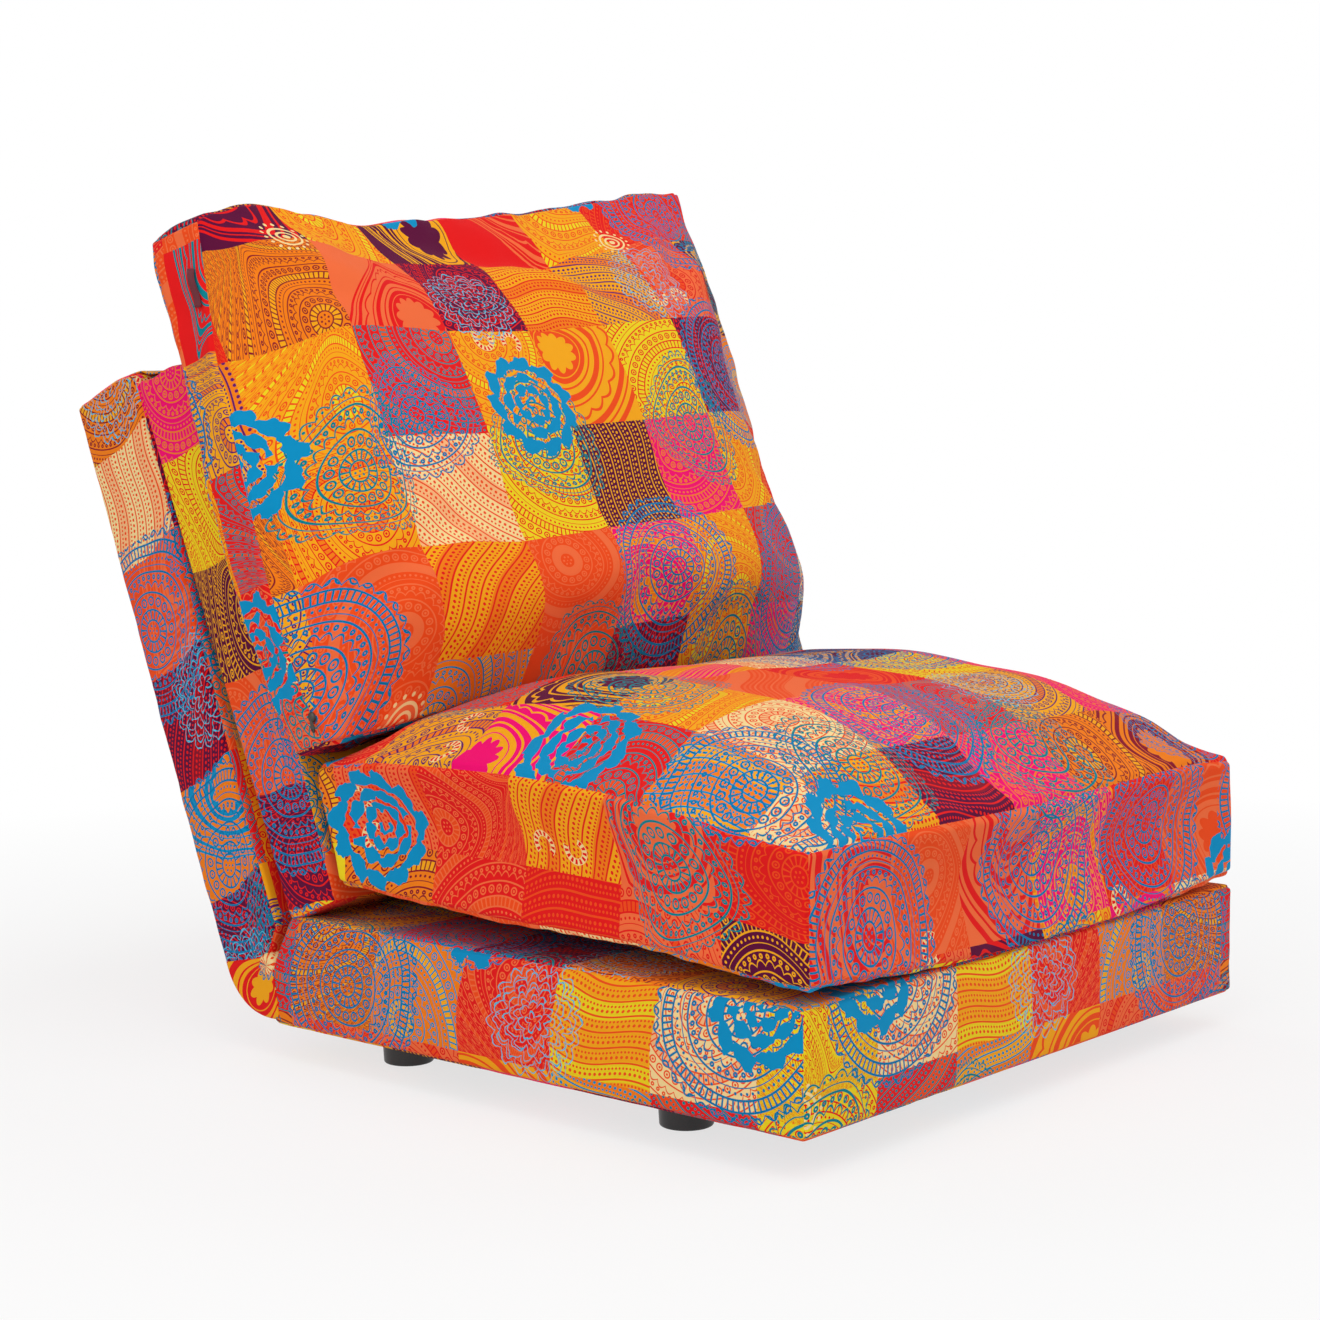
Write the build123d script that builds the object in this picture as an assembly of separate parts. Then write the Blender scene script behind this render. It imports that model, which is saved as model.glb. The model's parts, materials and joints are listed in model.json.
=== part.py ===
"""Convertible armchair: three hinged mattress sections and two loose cushions.

Frame: +Z up, the sitter faces -Y, the sitter's right is -X, feet stand on Z = 0.
Side profiles are drawn as (depth behind the base's front face, height above the base's underside).
"""
from build123d import *
import os
from math import atan2, cos, degrees, hypot, pi, radians, sin, tan

# Driving sizes (mm, degrees)
WIDTH = 700.0
BASE_LENGTH = 660.0
BASE_THICKNESS = 106.0
GROOVE_RUN = 30.0
LEAN = 22.5
PIVOT_GAP = 4.0
BACK_LENGTH = 603.0
BACK_FRONT_AT_TOP = 51.0
BACK_FRONT_AT_FOOT = 28.0
BACK_CHAMFER = 44.0
HEAD_SHORTFALL = 29.0
HEAD_THICKNESS_TOP = 104.0
HEAD_THICKNESS_FOOT = 70.0
FOLD_CLEARANCE = 0.5
FOLD_SETBACK = 6.0
COVER_WALL = 1.6
SECTION_EDGE_RADIUS = 14.0
FOOT_HEIGHT = 38.0
FOOT_RADIUS = 24.0
FOOT_FROM_FRAME = 43.0
FRONT_FOOT_DEPTH = 190.0
REAR_FOOT_INSET = 115.0
LOW_FOOT_ALONG = 114.0
HIGH_FOOT_INSET = 151.0
CREASE_RADIUS = 1.5

# Steel frames inside the sections
TUBE = 25.0
TUBE_WALL = 1.5
FRAME_RISE = 4.0
FRAME_SIDE_INSET = 32.0
BASE_FRAME_FRONT = 30.0
BASE_FRAME_REAR_INSET = 45.0
BACK_FRAME_LOW = 62.0
BACK_FRAME_HIGH_INSET = 43.0
DECK_THICKNESS = 5.0

# Foot screws
SCREW_RADIUS = 3.0
SCREW_HEAD_RADIUS = 6.5
SCREW_HEAD_HEIGHT = 4.0
SCREW_FIT = 0.1
SCREW_REACH = 9.0
FOOT_RECESS_DEPTH = 24.0
FOOT_RECESS_RADIUS = 9.0
FOOT_TAPER = 4.0
FOOT_EDGE = 2.0

# Ratchet hinges
PLATE = 4.0
PLATE_GAP = 0.5
PIN_RADIUS = 5.0
PIN_FIT = 0.08
PIN_HEAD_RADIUS = 9.0
PIN_HEAD_HEIGHT = 3.0
ARM_WIDTH = 24.0
SECTOR_RADIUS = 34.0
TOOTH_HEIGHT = 4.5
TOOTH_COUNT = 14
TOOTH_PITCH = 5.2
FIRST_TOOTH = 186.0
PAWL_ANGLE = 190.0
PAWL_LENGTH = 26.0
PAWL_WIDTH = 11.0
PAWL_NOSE = 3.0
PAWL_CLEARANCE = 0.4
RIVET_RADIUS = 3.0
POCKET_MARGIN = 5.0
POCKET_SIDE = 2.0

# Seat cushion
SEAT_GAP = 0.3
SEAT_FRONT = -8.0
SEAT_REAR_INSET = 107.0
SEAT_REAR_SLOPE = 34.0 / 116.0
SEAT_LOW_CROWN = 16.0
SEAT_SIDE_HEIGHT = 116.0
SEAT_TOP_CROWN = 88.0
SEAT_CORNER_RADIUS = 34.0
SEAT_SIDE_BULGE = 5.0

# Back cushion
PILLOW_OVERHANG = 15.0
PILLOW_GAP = 0.6
PILLOW_RISE = 34.0
PILLOW_LENGTH = 548.0
PILLOW_TILT = 42.0
PILLOW_EDGE = 48.0
PILLOW_EDGE_BULGE = 4.0
PILLOW_CROWN = 115.0
PILLOW_FULLEST = 0.45
PILLOW_FOOT_FULLNESS = 0.6

# Zips, tab and webs
ZIP_WIDTH = 9.0
ZIP_RISE = 1.4
ZIP_LENGTH_SHARE = 0.8
PULLER_LENGTH = 24.0
PULLER_WIDTH = 7.0
PULLER_THICKNESS = 1.6
TAB_LENGTH = 40.0
TAB_BELOW_TOP = 42.0
TAB_REACH = 12.0
TAB_THICKNESS = 1.0
WEB = 1.6
WEB_INSET = 1.0
DOWNWARD = -90.0

# Shares of the crown at stations from the middle of a cushion to its seam
CROWN_STATION_SHARES = (0.0, 0.45, 0.75, 0.92, 1.0)
CROWN_HEIGHT_SHARES = (1.0, 0.93, 0.7, 0.38, 0.0)
SEAT_CROWN_SHARES = ((0.0, 0.0), (0.34, 0.06), (0.62, 0.16), (0.84, 0.34), (1.0, 0.62))

# Places worked out from the driving sizes
HALF_WIDTH = WIDTH / 2
HALF_THICKNESS = BASE_THICKNESS / 2
PIVOT = (BASE_LENGTH + PIVOT_GAP, HALF_THICKNESS)
ALONG = (sin(radians(LEAN)), cos(radians(LEAN)))
FRONTWARD = (-cos(radians(LEAN)), sin(radians(LEAN)))
FRAME_HALF_WIDTH = HALF_WIDTH - FRAME_SIDE_INSET
BASE_FRAME_REAR = BASE_LENGTH - BASE_FRAME_REAR_INSET
BACK_FRAME_HIGH = BACK_LENGTH - BACK_FRAME_HIGH_INSET
FOOT_X = FRAME_HALF_WIDTH - FOOT_FROM_FRAME
BASE_FOOT_DEPTHS = (FRONT_FOOT_DEPTH, BASE_LENGTH - REAR_FOOT_INSET)
BACK_FOOT_ALONG = (LOW_FOOT_ALONG, BACK_LENGTH - HIGH_FOOT_INSET)
HEAD_LENGTH = BACK_LENGTH - HEAD_SHORTFALL
SEAT_REAR_AT_LOW_SEAM = BASE_LENGTH - SEAT_REAR_INSET
SEAT_REAR_RUN = SEAT_SIDE_HEIGHT * SEAT_REAR_SLOPE
SEAT_LOW_SEAM = BASE_THICKNESS + SEAT_GAP + SEAT_LOW_CROWN
SEAT_TOP_SEAM = SEAT_LOW_SEAM + SEAT_SIDE_HEIGHT
PILLOW_LOW = SEAT_TOP_SEAM + PILLOW_RISE
PILLOW_HALF_WIDTH = HALF_WIDTH + PILLOW_OVERHANG


def on_back(along, frontward):
    """Depth and height of a point given along and in front of the back section's pivot."""
    return (PIVOT[0] + along * ALONG[0] + frontward * FRONTWARD[0],
            PIVOT[1] + along * ALONG[1] + frontward * FRONTWARD[1])


def on_head(down, frontward):
    """Depth and height of a point given down and in front of the top fold."""
    return on_back(BACK_LENGTH - down, BACK_FRONT_AT_TOP + frontward)


def depth_middle():
    """Depth of the middle of the whole chair, from the seat's front to the back's top corner."""
    rounding = SECTION_EDGE_RADIUS
    rear = on_back(BACK_LENGTH - rounding, rounding - HALF_THICKNESS)[0] + rounding
    return (SEAT_FRONT - SEAT_SIDE_BULGE + rear) / 2


DEPTH_MIDDLE = depth_middle()


def outline(points, radii):
    """Closed face in the depth-height plane with one radius for each corner."""
    edges = FilletPolyline(*points, radius=radii, close=True)
    return make_face(edges)


def across(face, half_width):
    """Extrude a depth-height face to both sides of the middle plane."""
    solid = extrude(face, amount=half_width, both=True)
    return place(solid)


def place(shape):
    """Turn a shape from (depth, height, width) axes into the chair's frame."""
    turned = Rot(Z=90) * (Rot(X=90) * shape)
    return Pos(0, -DEPTH_MIDDLE, FOOT_HEIGHT) * turned


def block(low, high):
    """Box between two corners given as (x, depth, height)."""
    size = [b - a for a, b in zip(low, high)]
    middle = [(a + b) / 2 for a, b in zip(low, high)]
    return Pos(middle[0], middle[1] - DEPTH_MIDDLE, middle[2] + FOOT_HEIGHT) * Box(*size)


def disc(point, radius, x_low, x_high):
    """Cylinder along X through a (depth, height) point."""
    turned = Rot(Y=90) * Cylinder(radius, x_high - x_low)
    return Pos((x_low + x_high) / 2, point[0] - DEPTH_MIDDLE, point[1] + FOOT_HEIGHT) * turned


def lean_back(shape):
    """Move a shape drawn with the back section lying flat behind the base to its lean."""
    axis = Axis((0, PIVOT[0] - DEPTH_MIDDLE, PIVOT[1] + FOOT_HEIGHT), (1, 0, 0))
    return shape.rotate(axis, 90 - LEAN)


# Outlines of the three sections

def base_outline(inset):
    """Side outline of the base section, with the hinge groove in its upper rear half."""
    low, high = inset, BASE_THICKNESS - inset
    points = [(inset, low), (BASE_LENGTH - inset, low), (BASE_LENGTH - inset, HALF_THICKNESS),
              (BASE_LENGTH - GROOVE_RUN - inset, high), (inset, high)]
    corner = SECTION_EDGE_RADIUS - inset
    return outline(points, [corner, CREASE_RADIUS, corner, corner, corner])


def back_outline(inset):
    """Side outline of the back section at its lean."""
    low = PIVOT_GAP + inset
    rear = inset - HALF_THICKNESS
    groove = low + (BACK_FRONT_AT_FOOT - inset) * tan(radians(BACK_CHAMFER))
    points = [on_back(low, rear), on_back(BACK_LENGTH - inset, rear),
              on_back(BACK_LENGTH - inset, BACK_FRONT_AT_TOP - inset),
              on_back(groove, BACK_FRONT_AT_FOOT - inset), on_back(low, -inset)]
    corner = SECTION_EDGE_RADIUS - inset
    return outline(points, [CREASE_RADIUS, corner, corner / 2, corner, corner])


def head_top_drop(frontward):
    """Distance down from the fold to the head section's level top end."""
    return FOLD_SETBACK + (frontward - FOLD_CLEARANCE) * tan(radians(LEAN))


def head_outline(inset):
    """Side outline of the head section, folded down in front of the back section."""
    near = FOLD_CLEARANCE + inset
    points = [on_head(head_top_drop(near) + inset, near), on_head(HEAD_LENGTH - inset, near),
              on_head(HEAD_LENGTH - inset, HEAD_THICKNESS_FOOT - inset),
              on_head(head_top_drop(HEAD_THICKNESS_TOP) + inset, HEAD_THICKNESS_TOP - inset)]
    corner = SECTION_EDGE_RADIUS - inset
    return outline(points, [corner / 2, 1.7 * corner, 1.7 * corner, 2 * corner])


def soft_slab(face, half_width, radius):
    """A section's block with its two side rims rounded."""
    slab = across(face, half_width)
    rims = [e for side in (Axis.X,) for e in slab.faces().sort_by(side)[0].edges()]
    rims += slab.faces().sort_by(Axis.X)[-1].edges()
    return fillet(rims, radius)


def slab_pair(make_outline):
    """Cover and filling of one section."""
    rim = SECTION_EDGE_RADIUS / 3
    outer = soft_slab(make_outline(0), HALF_WIDTH, rim)
    inner = soft_slab(make_outline(COVER_WALL), HALF_WIDTH - COVER_WALL, rim - COVER_WALL)
    return outer - inner, inner


# Steel frames

def tube_ring(half_width, near, far, low, cross_at):
    """Rectangular ring of square tube lying flat, with cross tubes, hollow inside."""
    def lattice(shrink):
        bottom, top = low + shrink, low + TUBE - shrink
        ring = block((-half_width + shrink, near + shrink, bottom), (half_width - shrink, far - shrink, top))
        hole_half = half_width - TUBE + shrink
        hole = block((-hole_half, near + TUBE - shrink, bottom), (hole_half, far - TUBE + shrink, top))
        bars = [block((-hole_half, d - TUBE / 2 + shrink, bottom), (hole_half, d + TUBE / 2 - shrink, top))
                for d in cross_at]
        return ring - hole + bars
    return lattice(0), lattice(TUBE_WALL)


def along_z(point, x, radius, low, high):
    """Upright cylinder at a depth and an x, between two heights above the base's underside."""
    return Pos(x, point - DEPTH_MIDDLE, (low + high) / 2 + FOOT_HEIGHT) * Cylinder(radius, high - low)


# Feet and their screws, drawn under a section lying flat

def foot(depth, x):
    """Round tapered foot with a recess for its screw."""
    cone = Cone(FOOT_RADIUS, FOOT_RADIUS + FOOT_TAPER / 2, FOOT_HEIGHT)
    body = fillet(cone.edges().sort_by(Axis.Z)[0], FOOT_EDGE)
    body = Pos(x, depth - DEPTH_MIDDLE, FOOT_HEIGHT / 2) * body
    body -= along_z(depth, x, FOOT_RECESS_RADIUS, -FOOT_HEIGHT, FOOT_RECESS_DEPTH - FOOT_HEIGHT)
    return body - along_z(depth, x, SCREW_RADIUS + SCREW_FIT, -FOOT_HEIGHT, 0)


def foot_screw(depth, x):
    """Screw that holds a foot to the tube above it."""
    seat = FOOT_RECESS_DEPTH - FOOT_HEIGHT
    head = along_z(depth, x, SCREW_HEAD_RADIUS, seat - SCREW_HEAD_HEIGHT, seat)
    return head + along_z(depth, x, SCREW_RADIUS, seat, SCREW_REACH)


def screw_holes(depths):
    """Clearance holes for the screws of one section's feet."""
    return [along_z(d, s * FOOT_X, SCREW_RADIUS + SCREW_FIT, -FOOT_HEIGHT, SCREW_REACH)
            for d in depths for s in (-1, 1)]


# Ratchet hinges, one at each side

ARM_X = (FRAME_HALF_WIDTH, FRAME_HALF_WIDTH + PLATE)
SECTOR_X = (ARM_X[1] + PLATE_GAP, ARM_X[1] + PLATE_GAP + PLATE)
PIN_X = (ARM_X[0] - PIN_HEAD_HEIGHT, SECTOR_X[1] + PIN_HEAD_HEIGHT)


def span(side, x_range):
    """X range of a plate at one side of the chair, low end first."""
    return tuple(sorted(side * x for x in x_range))


def strap(start, end, width, x_low, x_high):
    """Flat bar with round ends between two (depth, height) points."""
    run = (end[0] - start[0], end[1] - start[1])
    length = hypot(*run)
    angle = degrees(atan2(run[1], run[0]))
    bar = Rot(X=angle) * Box(x_high - x_low, length, width)
    middle = ((start[0] + end[0]) / 2, (start[1] + end[1]) / 2)
    bar = Pos((x_low + x_high) / 2, middle[0] - DEPTH_MIDDLE, middle[1] + FOOT_HEIGHT) * bar
    return bar + disc(start, width / 2, x_low, x_high) + disc(end, width / 2, x_low, x_high)


def around_pivot(angle, radius):
    """Depth and height of a point around the main pivot."""
    return (PIVOT[0] + radius * cos(radians(angle)), PIVOT[1] + radius * sin(radians(angle)))


def pawl_pivot():
    """Centre of the pawl's rivet."""
    return around_pivot(PAWL_ANGLE, SECTOR_RADIUS + TOOTH_HEIGHT + PAWL_CLEARANCE + PAWL_LENGTH)


def hinge_arm(side):
    """Plate on the base's side tube that carries the main pivot and the pawl's rivet."""
    x_low, x_high = span(side, ARM_X)
    tube_middle = FRAME_RISE + TUBE / 2
    arm = strap((BASE_FRAME_REAR - 3 * TUBE, tube_middle), (BASE_FRAME_REAR - TUBE, tube_middle), TUBE,
                x_low, x_high)
    arm += strap((BASE_FRAME_REAR - TUBE, tube_middle), PIVOT, ARM_WIDTH, x_low, x_high)
    arm += strap((BASE_FRAME_REAR - TUBE, tube_middle), pawl_pivot(), ARM_WIDTH / 2, x_low, x_high)
    rivet_x = span(side, (ARM_X[0], SECTOR_X[1]))
    arm += disc(pawl_pivot(), RIVET_RADIUS, *rivet_x)
    return arm - disc(PIVOT, PIN_RADIUS, x_low, x_high)


def pawl(side):
    """Wedge-nosed pawl on its rivet, lifted just clear of the teeth."""
    x_low, x_high = span(side, SECTOR_X)
    centre = pawl_pivot()
    nose = SECTOR_RADIUS + TOOTH_HEIGHT + PAWL_CLEARANCE
    half_turn = degrees(PAWL_NOSE / 2 / nose)
    points = [around_pivot(PAWL_ANGLE - half_turn, nose), around_pivot(PAWL_ANGLE + half_turn, nose),
              around_pivot(PAWL_ANGLE + 2 * half_turn, nose + PAWL_LENGTH),
              around_pivot(PAWL_ANGLE - 2 * half_turn, nose + PAWL_LENGTH)]
    body = plate(make_face(Polyline(*points, close=True)), x_low, x_high)
    body += disc(centre, PAWL_WIDTH / 2, x_low, x_high)
    return body - disc(centre, RIVET_RADIUS + PIN_FIT, x_low, x_high)


def plate(face, x_low, x_high):
    """Plate of a depth-height face between two x planes."""
    solid = extrude(face, amount=x_high - x_low)
    turned = place(solid)
    return Pos(x_low - turned.bounding_box().min.X, 0, 0) * turned


def sector(side):
    """Toothed quadrant and arm on the back's side tube, turning about the main pivot."""
    x_low, x_high = span(side, SECTOR_X)
    hub = disc(PIVOT, SECTOR_RADIUS, x_low, x_high)
    teeth = []
    for index in range(TOOTH_COUNT):
        angle = FIRST_TOOTH + index * TOOTH_PITCH
        root = SECTOR_RADIUS - TOOTH_HEIGHT / 2
        points = [around_pivot(angle - TOOTH_PITCH / 2, root), around_pivot(angle + TOOTH_PITCH / 2, root),
                  around_pivot(angle + TOOTH_PITCH / 3, SECTOR_RADIUS + TOOTH_HEIGHT)]
        teeth.append(plate(make_face(Polyline(*points, close=True)), x_low, x_high))
    tube_axis = FRAME_RISE + TUBE / 2 - HALF_THICKNESS
    reach = BACK_FRAME_LOW + 3 * TUBE
    arm = strap(PIVOT, on_back(BACK_FRAME_LOW + TUBE / 2, tube_axis), ARM_WIDTH, x_low, x_high)
    arm += strap(on_back(BACK_FRAME_LOW + TUBE / 2, tube_axis), on_back(reach, tube_axis), TUBE,
                 x_low, x_high)
    return hub + teeth + arm - disc(PIVOT, PIN_RADIUS + PIN_FIT, x_low, x_high)


def pivot_pin(side):
    """Headed pin through the arm and the toothed quadrant."""
    x_low, x_high = span(side, PIN_X)
    pin = disc(PIVOT, PIN_RADIUS, x_low, x_high)
    inner = span(side, (PIN_X[0], ARM_X[0]))
    outer = span(side, (SECTOR_X[1] + PIN_FIT, PIN_X[1] + PIN_FIT))
    return pin + disc(PIVOT, PIN_HEAD_RADIUS, *inner) + disc(PIVOT, PIN_HEAD_RADIUS, *outer)


def hinge_pockets(swept_arm):
    """Slots in the filling and covers in which the hinge plates turn."""
    pockets = []
    for side in (-1, 1):
        x_low, x_high = span(side, (PIN_X[0] - POCKET_SIDE, PIN_X[1] + POCKET_SIDE))
        reach = SECTOR_RADIUS + TOOTH_HEIGHT + POCKET_MARGIN
        pockets.append(disc(PIVOT, reach, x_low, x_high))
        for start, end, width in swept_arm:
            pockets.append(strap(start, end, width + POCKET_MARGIN, x_low, x_high))
    return pockets


# Cushions

def seat_section(height, inset, inward):
    """Rounded rectangle of the seat cushion at one height, flat against what stands behind it."""
    rise = (height - SEAT_LOW_SEAM) / SEAT_SIDE_HEIGHT
    rear = SEAT_REAR_AT_LOW_SEAM + min(max(rise, 0), 1) * SEAT_REAR_RUN - max(inset, inward)
    front = SEAT_FRONT + inset
    middle = (front + rear) / 2 - DEPTH_MIDDLE
    corner = SEAT_CORNER_RADIUS + inset / 4 - inward
    face = RectangleRounded(WIDTH - 2 * inset, rear - front, corner)
    return Pos(0, middle, height + FOOT_HEIGHT) * face


def seat_block(inward):
    """Crowned block of the seat cushion, drawn in by a wall."""
    half_depth = (SEAT_REAR_AT_LOW_SEAM - SEAT_FRONT) / 2
    crown = [(rise, half_depth * draw) for rise, draw in SEAT_CROWN_SHARES]
    low = [seat_section(SEAT_LOW_SEAM - (SEAT_LOW_CROWN - inward) * rise, draw + inward, inward)
           for rise, draw in reversed(crown)]
    bulge = seat_section(SEAT_LOW_SEAM + SEAT_SIDE_HEIGHT / 2, inward - SEAT_SIDE_BULGE, inward)
    top = [seat_section(SEAT_TOP_SEAM + (SEAT_TOP_CROWN - inward) * rise, draw + inward, inward)
           for rise, draw in crown]
    return loft(low + [bulge] + top, ruled=True)


def on_face(up, front):
    """Depth and height of a point up along and in front of the head section's front face."""
    foot_end = on_head(HEAD_LENGTH, HEAD_THICKNESS_FOOT)
    top = on_head(head_top_drop(HEAD_THICKNESS_TOP), HEAD_THICKNESS_TOP)
    run, rise = top[0] - foot_end[0], top[1] - foot_end[1]
    length = hypot(run, rise)
    depth = foot_end[0] + (PILLOW_LOW - foot_end[1]) * run / rise
    out = front + PILLOW_GAP
    return (depth + (up * run - out * rise) / length, PILLOW_LOW + (up * rise + out * run) / length)


def pillow_outline(share, crown, inward):
    """Side outline of the back cushion at a share of its half width and of its crown."""
    top = PILLOW_LENGTH + share * PILLOW_TILT - inward
    edge = PILLOW_EDGE - inward
    middle = edge + PILLOW_EDGE_BULGE + crown * PILLOW_CROWN
    foot_edge = edge + crown * PILLOW_CROWN * PILLOW_FOOT_FULLNESS
    rear_low, rear_top = on_face(inward, inward), on_face(top, inward)
    front_top, front_low = on_face(top, edge), on_face(inward, foot_edge)
    front_middle = on_face(top * PILLOW_FULLEST, middle)
    edges = [Line(rear_low, rear_top), Line(rear_top, front_top),
             ThreePointArc(front_top, front_middle, front_low), Line(front_low, rear_low)]
    return make_face(edges)


def pillow_block(inward):
    """Crowned back cushion that leans on the head section and stands above its top."""
    half = PILLOW_HALF_WIDTH - inward
    stations = list(zip(CROWN_STATION_SHARES, CROWN_HEIGHT_SHARES))
    mirrored = [(-s, c) for s, c in reversed(stations[1:])]
    sections = [Pos(0, 0, s * half) * pillow_outline(s, c, inward) for s, c in mirrored + stations]
    return place(loft(sections, ruled=True))


# Zips, pullers, the tab and the webs over the two folds

def seat_zip():
    """Zip tape along the seat cushion's rear gusset."""
    middle = SEAT_LOW_SEAM + SEAT_SIDE_HEIGHT / 2
    rear = SEAT_REAR_AT_LOW_SEAM + SEAT_REAR_RUN / 2
    slope = SEAT_REAR_RUN / SEAT_SIDE_HEIGHT
    low, high = middle + ZIP_RISE, middle + ZIP_RISE + ZIP_WIDTH
    points = [(rear + slope * (h - middle) + out, h)
              for h, out in ((low, 0), (high, 0), (high, ZIP_RISE), (low, ZIP_RISE))]
    return across(make_face(Polyline(*points, close=True)), WIDTH / 2 * ZIP_LENGTH_SHARE)


def seat_zip_puller():
    """Slider and pull hanging at the end of the seat cushion's zip."""
    zip_box = seat_zip().bounding_box()
    x_high = zip_box.max.X
    depth = zip_box.max.Y + DEPTH_MIDDLE
    height = zip_box.min.Z - FOOT_HEIGHT
    return block((x_high - PULLER_WIDTH, depth, height - PULLER_LENGTH / 2),
                 (x_high, depth + PULLER_THICKNESS, height + ZIP_WIDTH))


def pillow_zip():
    """Zip tape let into the underside of the back cushion."""
    near, far = (PILLOW_EDGE - ZIP_WIDTH) / 2, (PILLOW_EDGE + ZIP_WIDTH) / 2
    points = [on_face(0, near), on_face(0, far), on_face(ZIP_RISE, far), on_face(ZIP_RISE, near)]
    return across(make_face(Polyline(*points, close=True)), PILLOW_HALF_WIDTH * ZIP_LENGTH_SHARE)


def pillow_zip_puller():
    """Pull that lies on the back cushion's side face at its lower right-hand corner."""
    low, far = on_face(ZIP_WIDTH, PILLOW_EDGE), PULLER_LENGTH
    points = [low, on_face(ZIP_WIDTH + far, PILLOW_EDGE),
              on_face(ZIP_WIDTH + far, PILLOW_EDGE - PULLER_WIDTH), on_face(ZIP_WIDTH, PILLOW_EDGE - PULLER_WIDTH)]
    return plate(make_face(Polyline(*points, close=True)), -PILLOW_HALF_WIDTH - PULLER_THICKNESS,
                 -PILLOW_HALF_WIDTH)


def plain_tab():
    """Bare folded tab sewn into the back cushion's right-hand seam, lying on its side face."""
    high = PILLOW_LENGTH - PILLOW_TILT - TAB_BELOW_TOP
    low = high - TAB_LENGTH
    points = [on_face(low, PILLOW_EDGE), on_face(high, PILLOW_EDGE), on_face(high, PILLOW_EDGE - TAB_REACH),
              on_face(low, PILLOW_EDGE - TAB_REACH)]
    return plate(make_face(Polyline(*points, close=True)), -PILLOW_HALF_WIDTH - TAB_THICKNESS,
                 -PILLOW_HALF_WIDTH)


def hinge_gusset():
    """Cover web that wraps the bend between the base and the back section."""
    lip = degrees((PIVOT_GAP - WEB_INSET / 2) / HALF_THICKNESS)
    start, end = DOWNWARD - lip, -LEAN + lip
    outer = CenterArc(PIVOT, HALF_THICKNESS, start, end - start)
    inner = CenterArc(PIVOT, HALF_THICKNESS - WEB, start, end - start)
    sides = [Line(outer @ 0, inner @ 0), Line(outer @ 1, inner @ 1)]
    return across(make_face([outer, inner] + sides), HALF_WIDTH - WEB_INSET)


def fold_web():
    """Cover web that bridges the top fold between the back and head sections."""
    reach = 2 * SECTION_EDGE_RADIUS

    def under(lift):
        drop = head_top_drop(reach)
        return [on_back(BACK_LENGTH + lift, BACK_FRONT_AT_TOP - reach),
                on_back(BACK_LENGTH + lift, BACK_FRONT_AT_TOP),
                on_head(drop - lift, reach)]
    points = under(WEB_INSET / 2) + list(reversed(under(WEB_INSET / 2 + WEB)))
    return across(make_face(Polyline(*points, close=True)), HALF_WIDTH - SECTION_EDGE_RADIUS)


# Assembly

def base_parts():
    """Nodes of the base section."""
    tube_middle = FRAME_RISE + TUBE / 2
    knee = (BASE_FRAME_REAR - TUBE, tube_middle)
    arms = [((BASE_FRAME_REAR - 3 * TUBE, tube_middle), knee, TUBE), (knee, PIVOT, ARM_WIDTH),
            (knee, pawl_pivot(), ARM_WIDTH / 2), (PIVOT, pawl_pivot(), PAWL_WIDTH)]
    pockets = hinge_pockets(arms)
    tubes, bore = tube_ring(FRAME_HALF_WIDTH, BASE_FRAME_FRONT, BASE_FRAME_REAR, FRAME_RISE,
                            BASE_FOOT_DEPTHS)
    holes = screw_holes(BASE_FOOT_DEPTHS)
    deck = block((-FRAME_HALF_WIDTH, BASE_FRAME_FRONT, FRAME_RISE + TUBE),
                 (FRAME_HALF_WIDTH, BASE_FRAME_REAR, FRAME_RISE + TUBE + DECK_THICKNESS))
    cover, filling = slab_pair(base_outline)
    nodes = {"base_frame": tubes - bore - holes, "base_deck": deck,
             "base_filling": filling - tubes - deck - holes - pockets,
             "base_cover": cover - holes - pockets, "hinge_gusset": hinge_gusset()}
    nodes.update(numbered("base_foot", foot, BASE_FOOT_DEPTHS))
    nodes.update(numbered("base_foot_screw", foot_screw, BASE_FOOT_DEPTHS))
    for name, make in (("hinge_arm", hinge_arm), ("pivot_pin", pivot_pin), ("pawl", pawl)):
        nodes[name + "_right"] = make(-1)
        nodes[name + "_left"] = make(1)
    return nodes


def numbered(name, make, depths):
    """One piece for each foot place of a section."""
    places = [(d, s * FOOT_X) for d in depths for s in (-1, 1)]
    return {f"{name}_{number}": make(*spot) for number, spot in enumerate(places, 1)}


def back_parts():
    """Nodes of the back section, drawn flat and leaned where that is simpler."""
    tube_axis = FRAME_RISE + TUBE / 2 - HALF_THICKNESS
    knee = on_back(BACK_FRAME_LOW + TUBE / 2, tube_axis)
    reach = on_back(BACK_FRAME_LOW + 3 * TUBE, tube_axis)
    pockets = hinge_pockets([(PIVOT, knee, ARM_WIDTH), (knee, reach, TUBE)])
    depths = [PIVOT[0] + along for along in BACK_FOOT_ALONG]
    tubes, bore = tube_ring(SECTOR_X[0], PIVOT[0] + BACK_FRAME_LOW, PIVOT[0] + BACK_FRAME_HIGH,
                            FRAME_RISE, depths)
    holes = [lean_back(hole) for hole in screw_holes(depths)]
    tubes, bore = lean_back(tubes), lean_back(bore)
    cover, filling = slab_pair(back_outline)
    nodes = {"back_frame": tubes - bore - holes, "back_filling": filling - tubes - holes - pockets,
             "back_cover": cover - holes - pockets, "fold_web": fold_web(),
             "hinge_sector_right": sector(-1), "hinge_sector_left": sector(1)}
    for name, make in (("back_foot", foot), ("back_foot_screw", foot_screw)):
        nodes.update({key: lean_back(piece) for key, piece in numbered(name, make, depths).items()})
    return nodes


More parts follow.
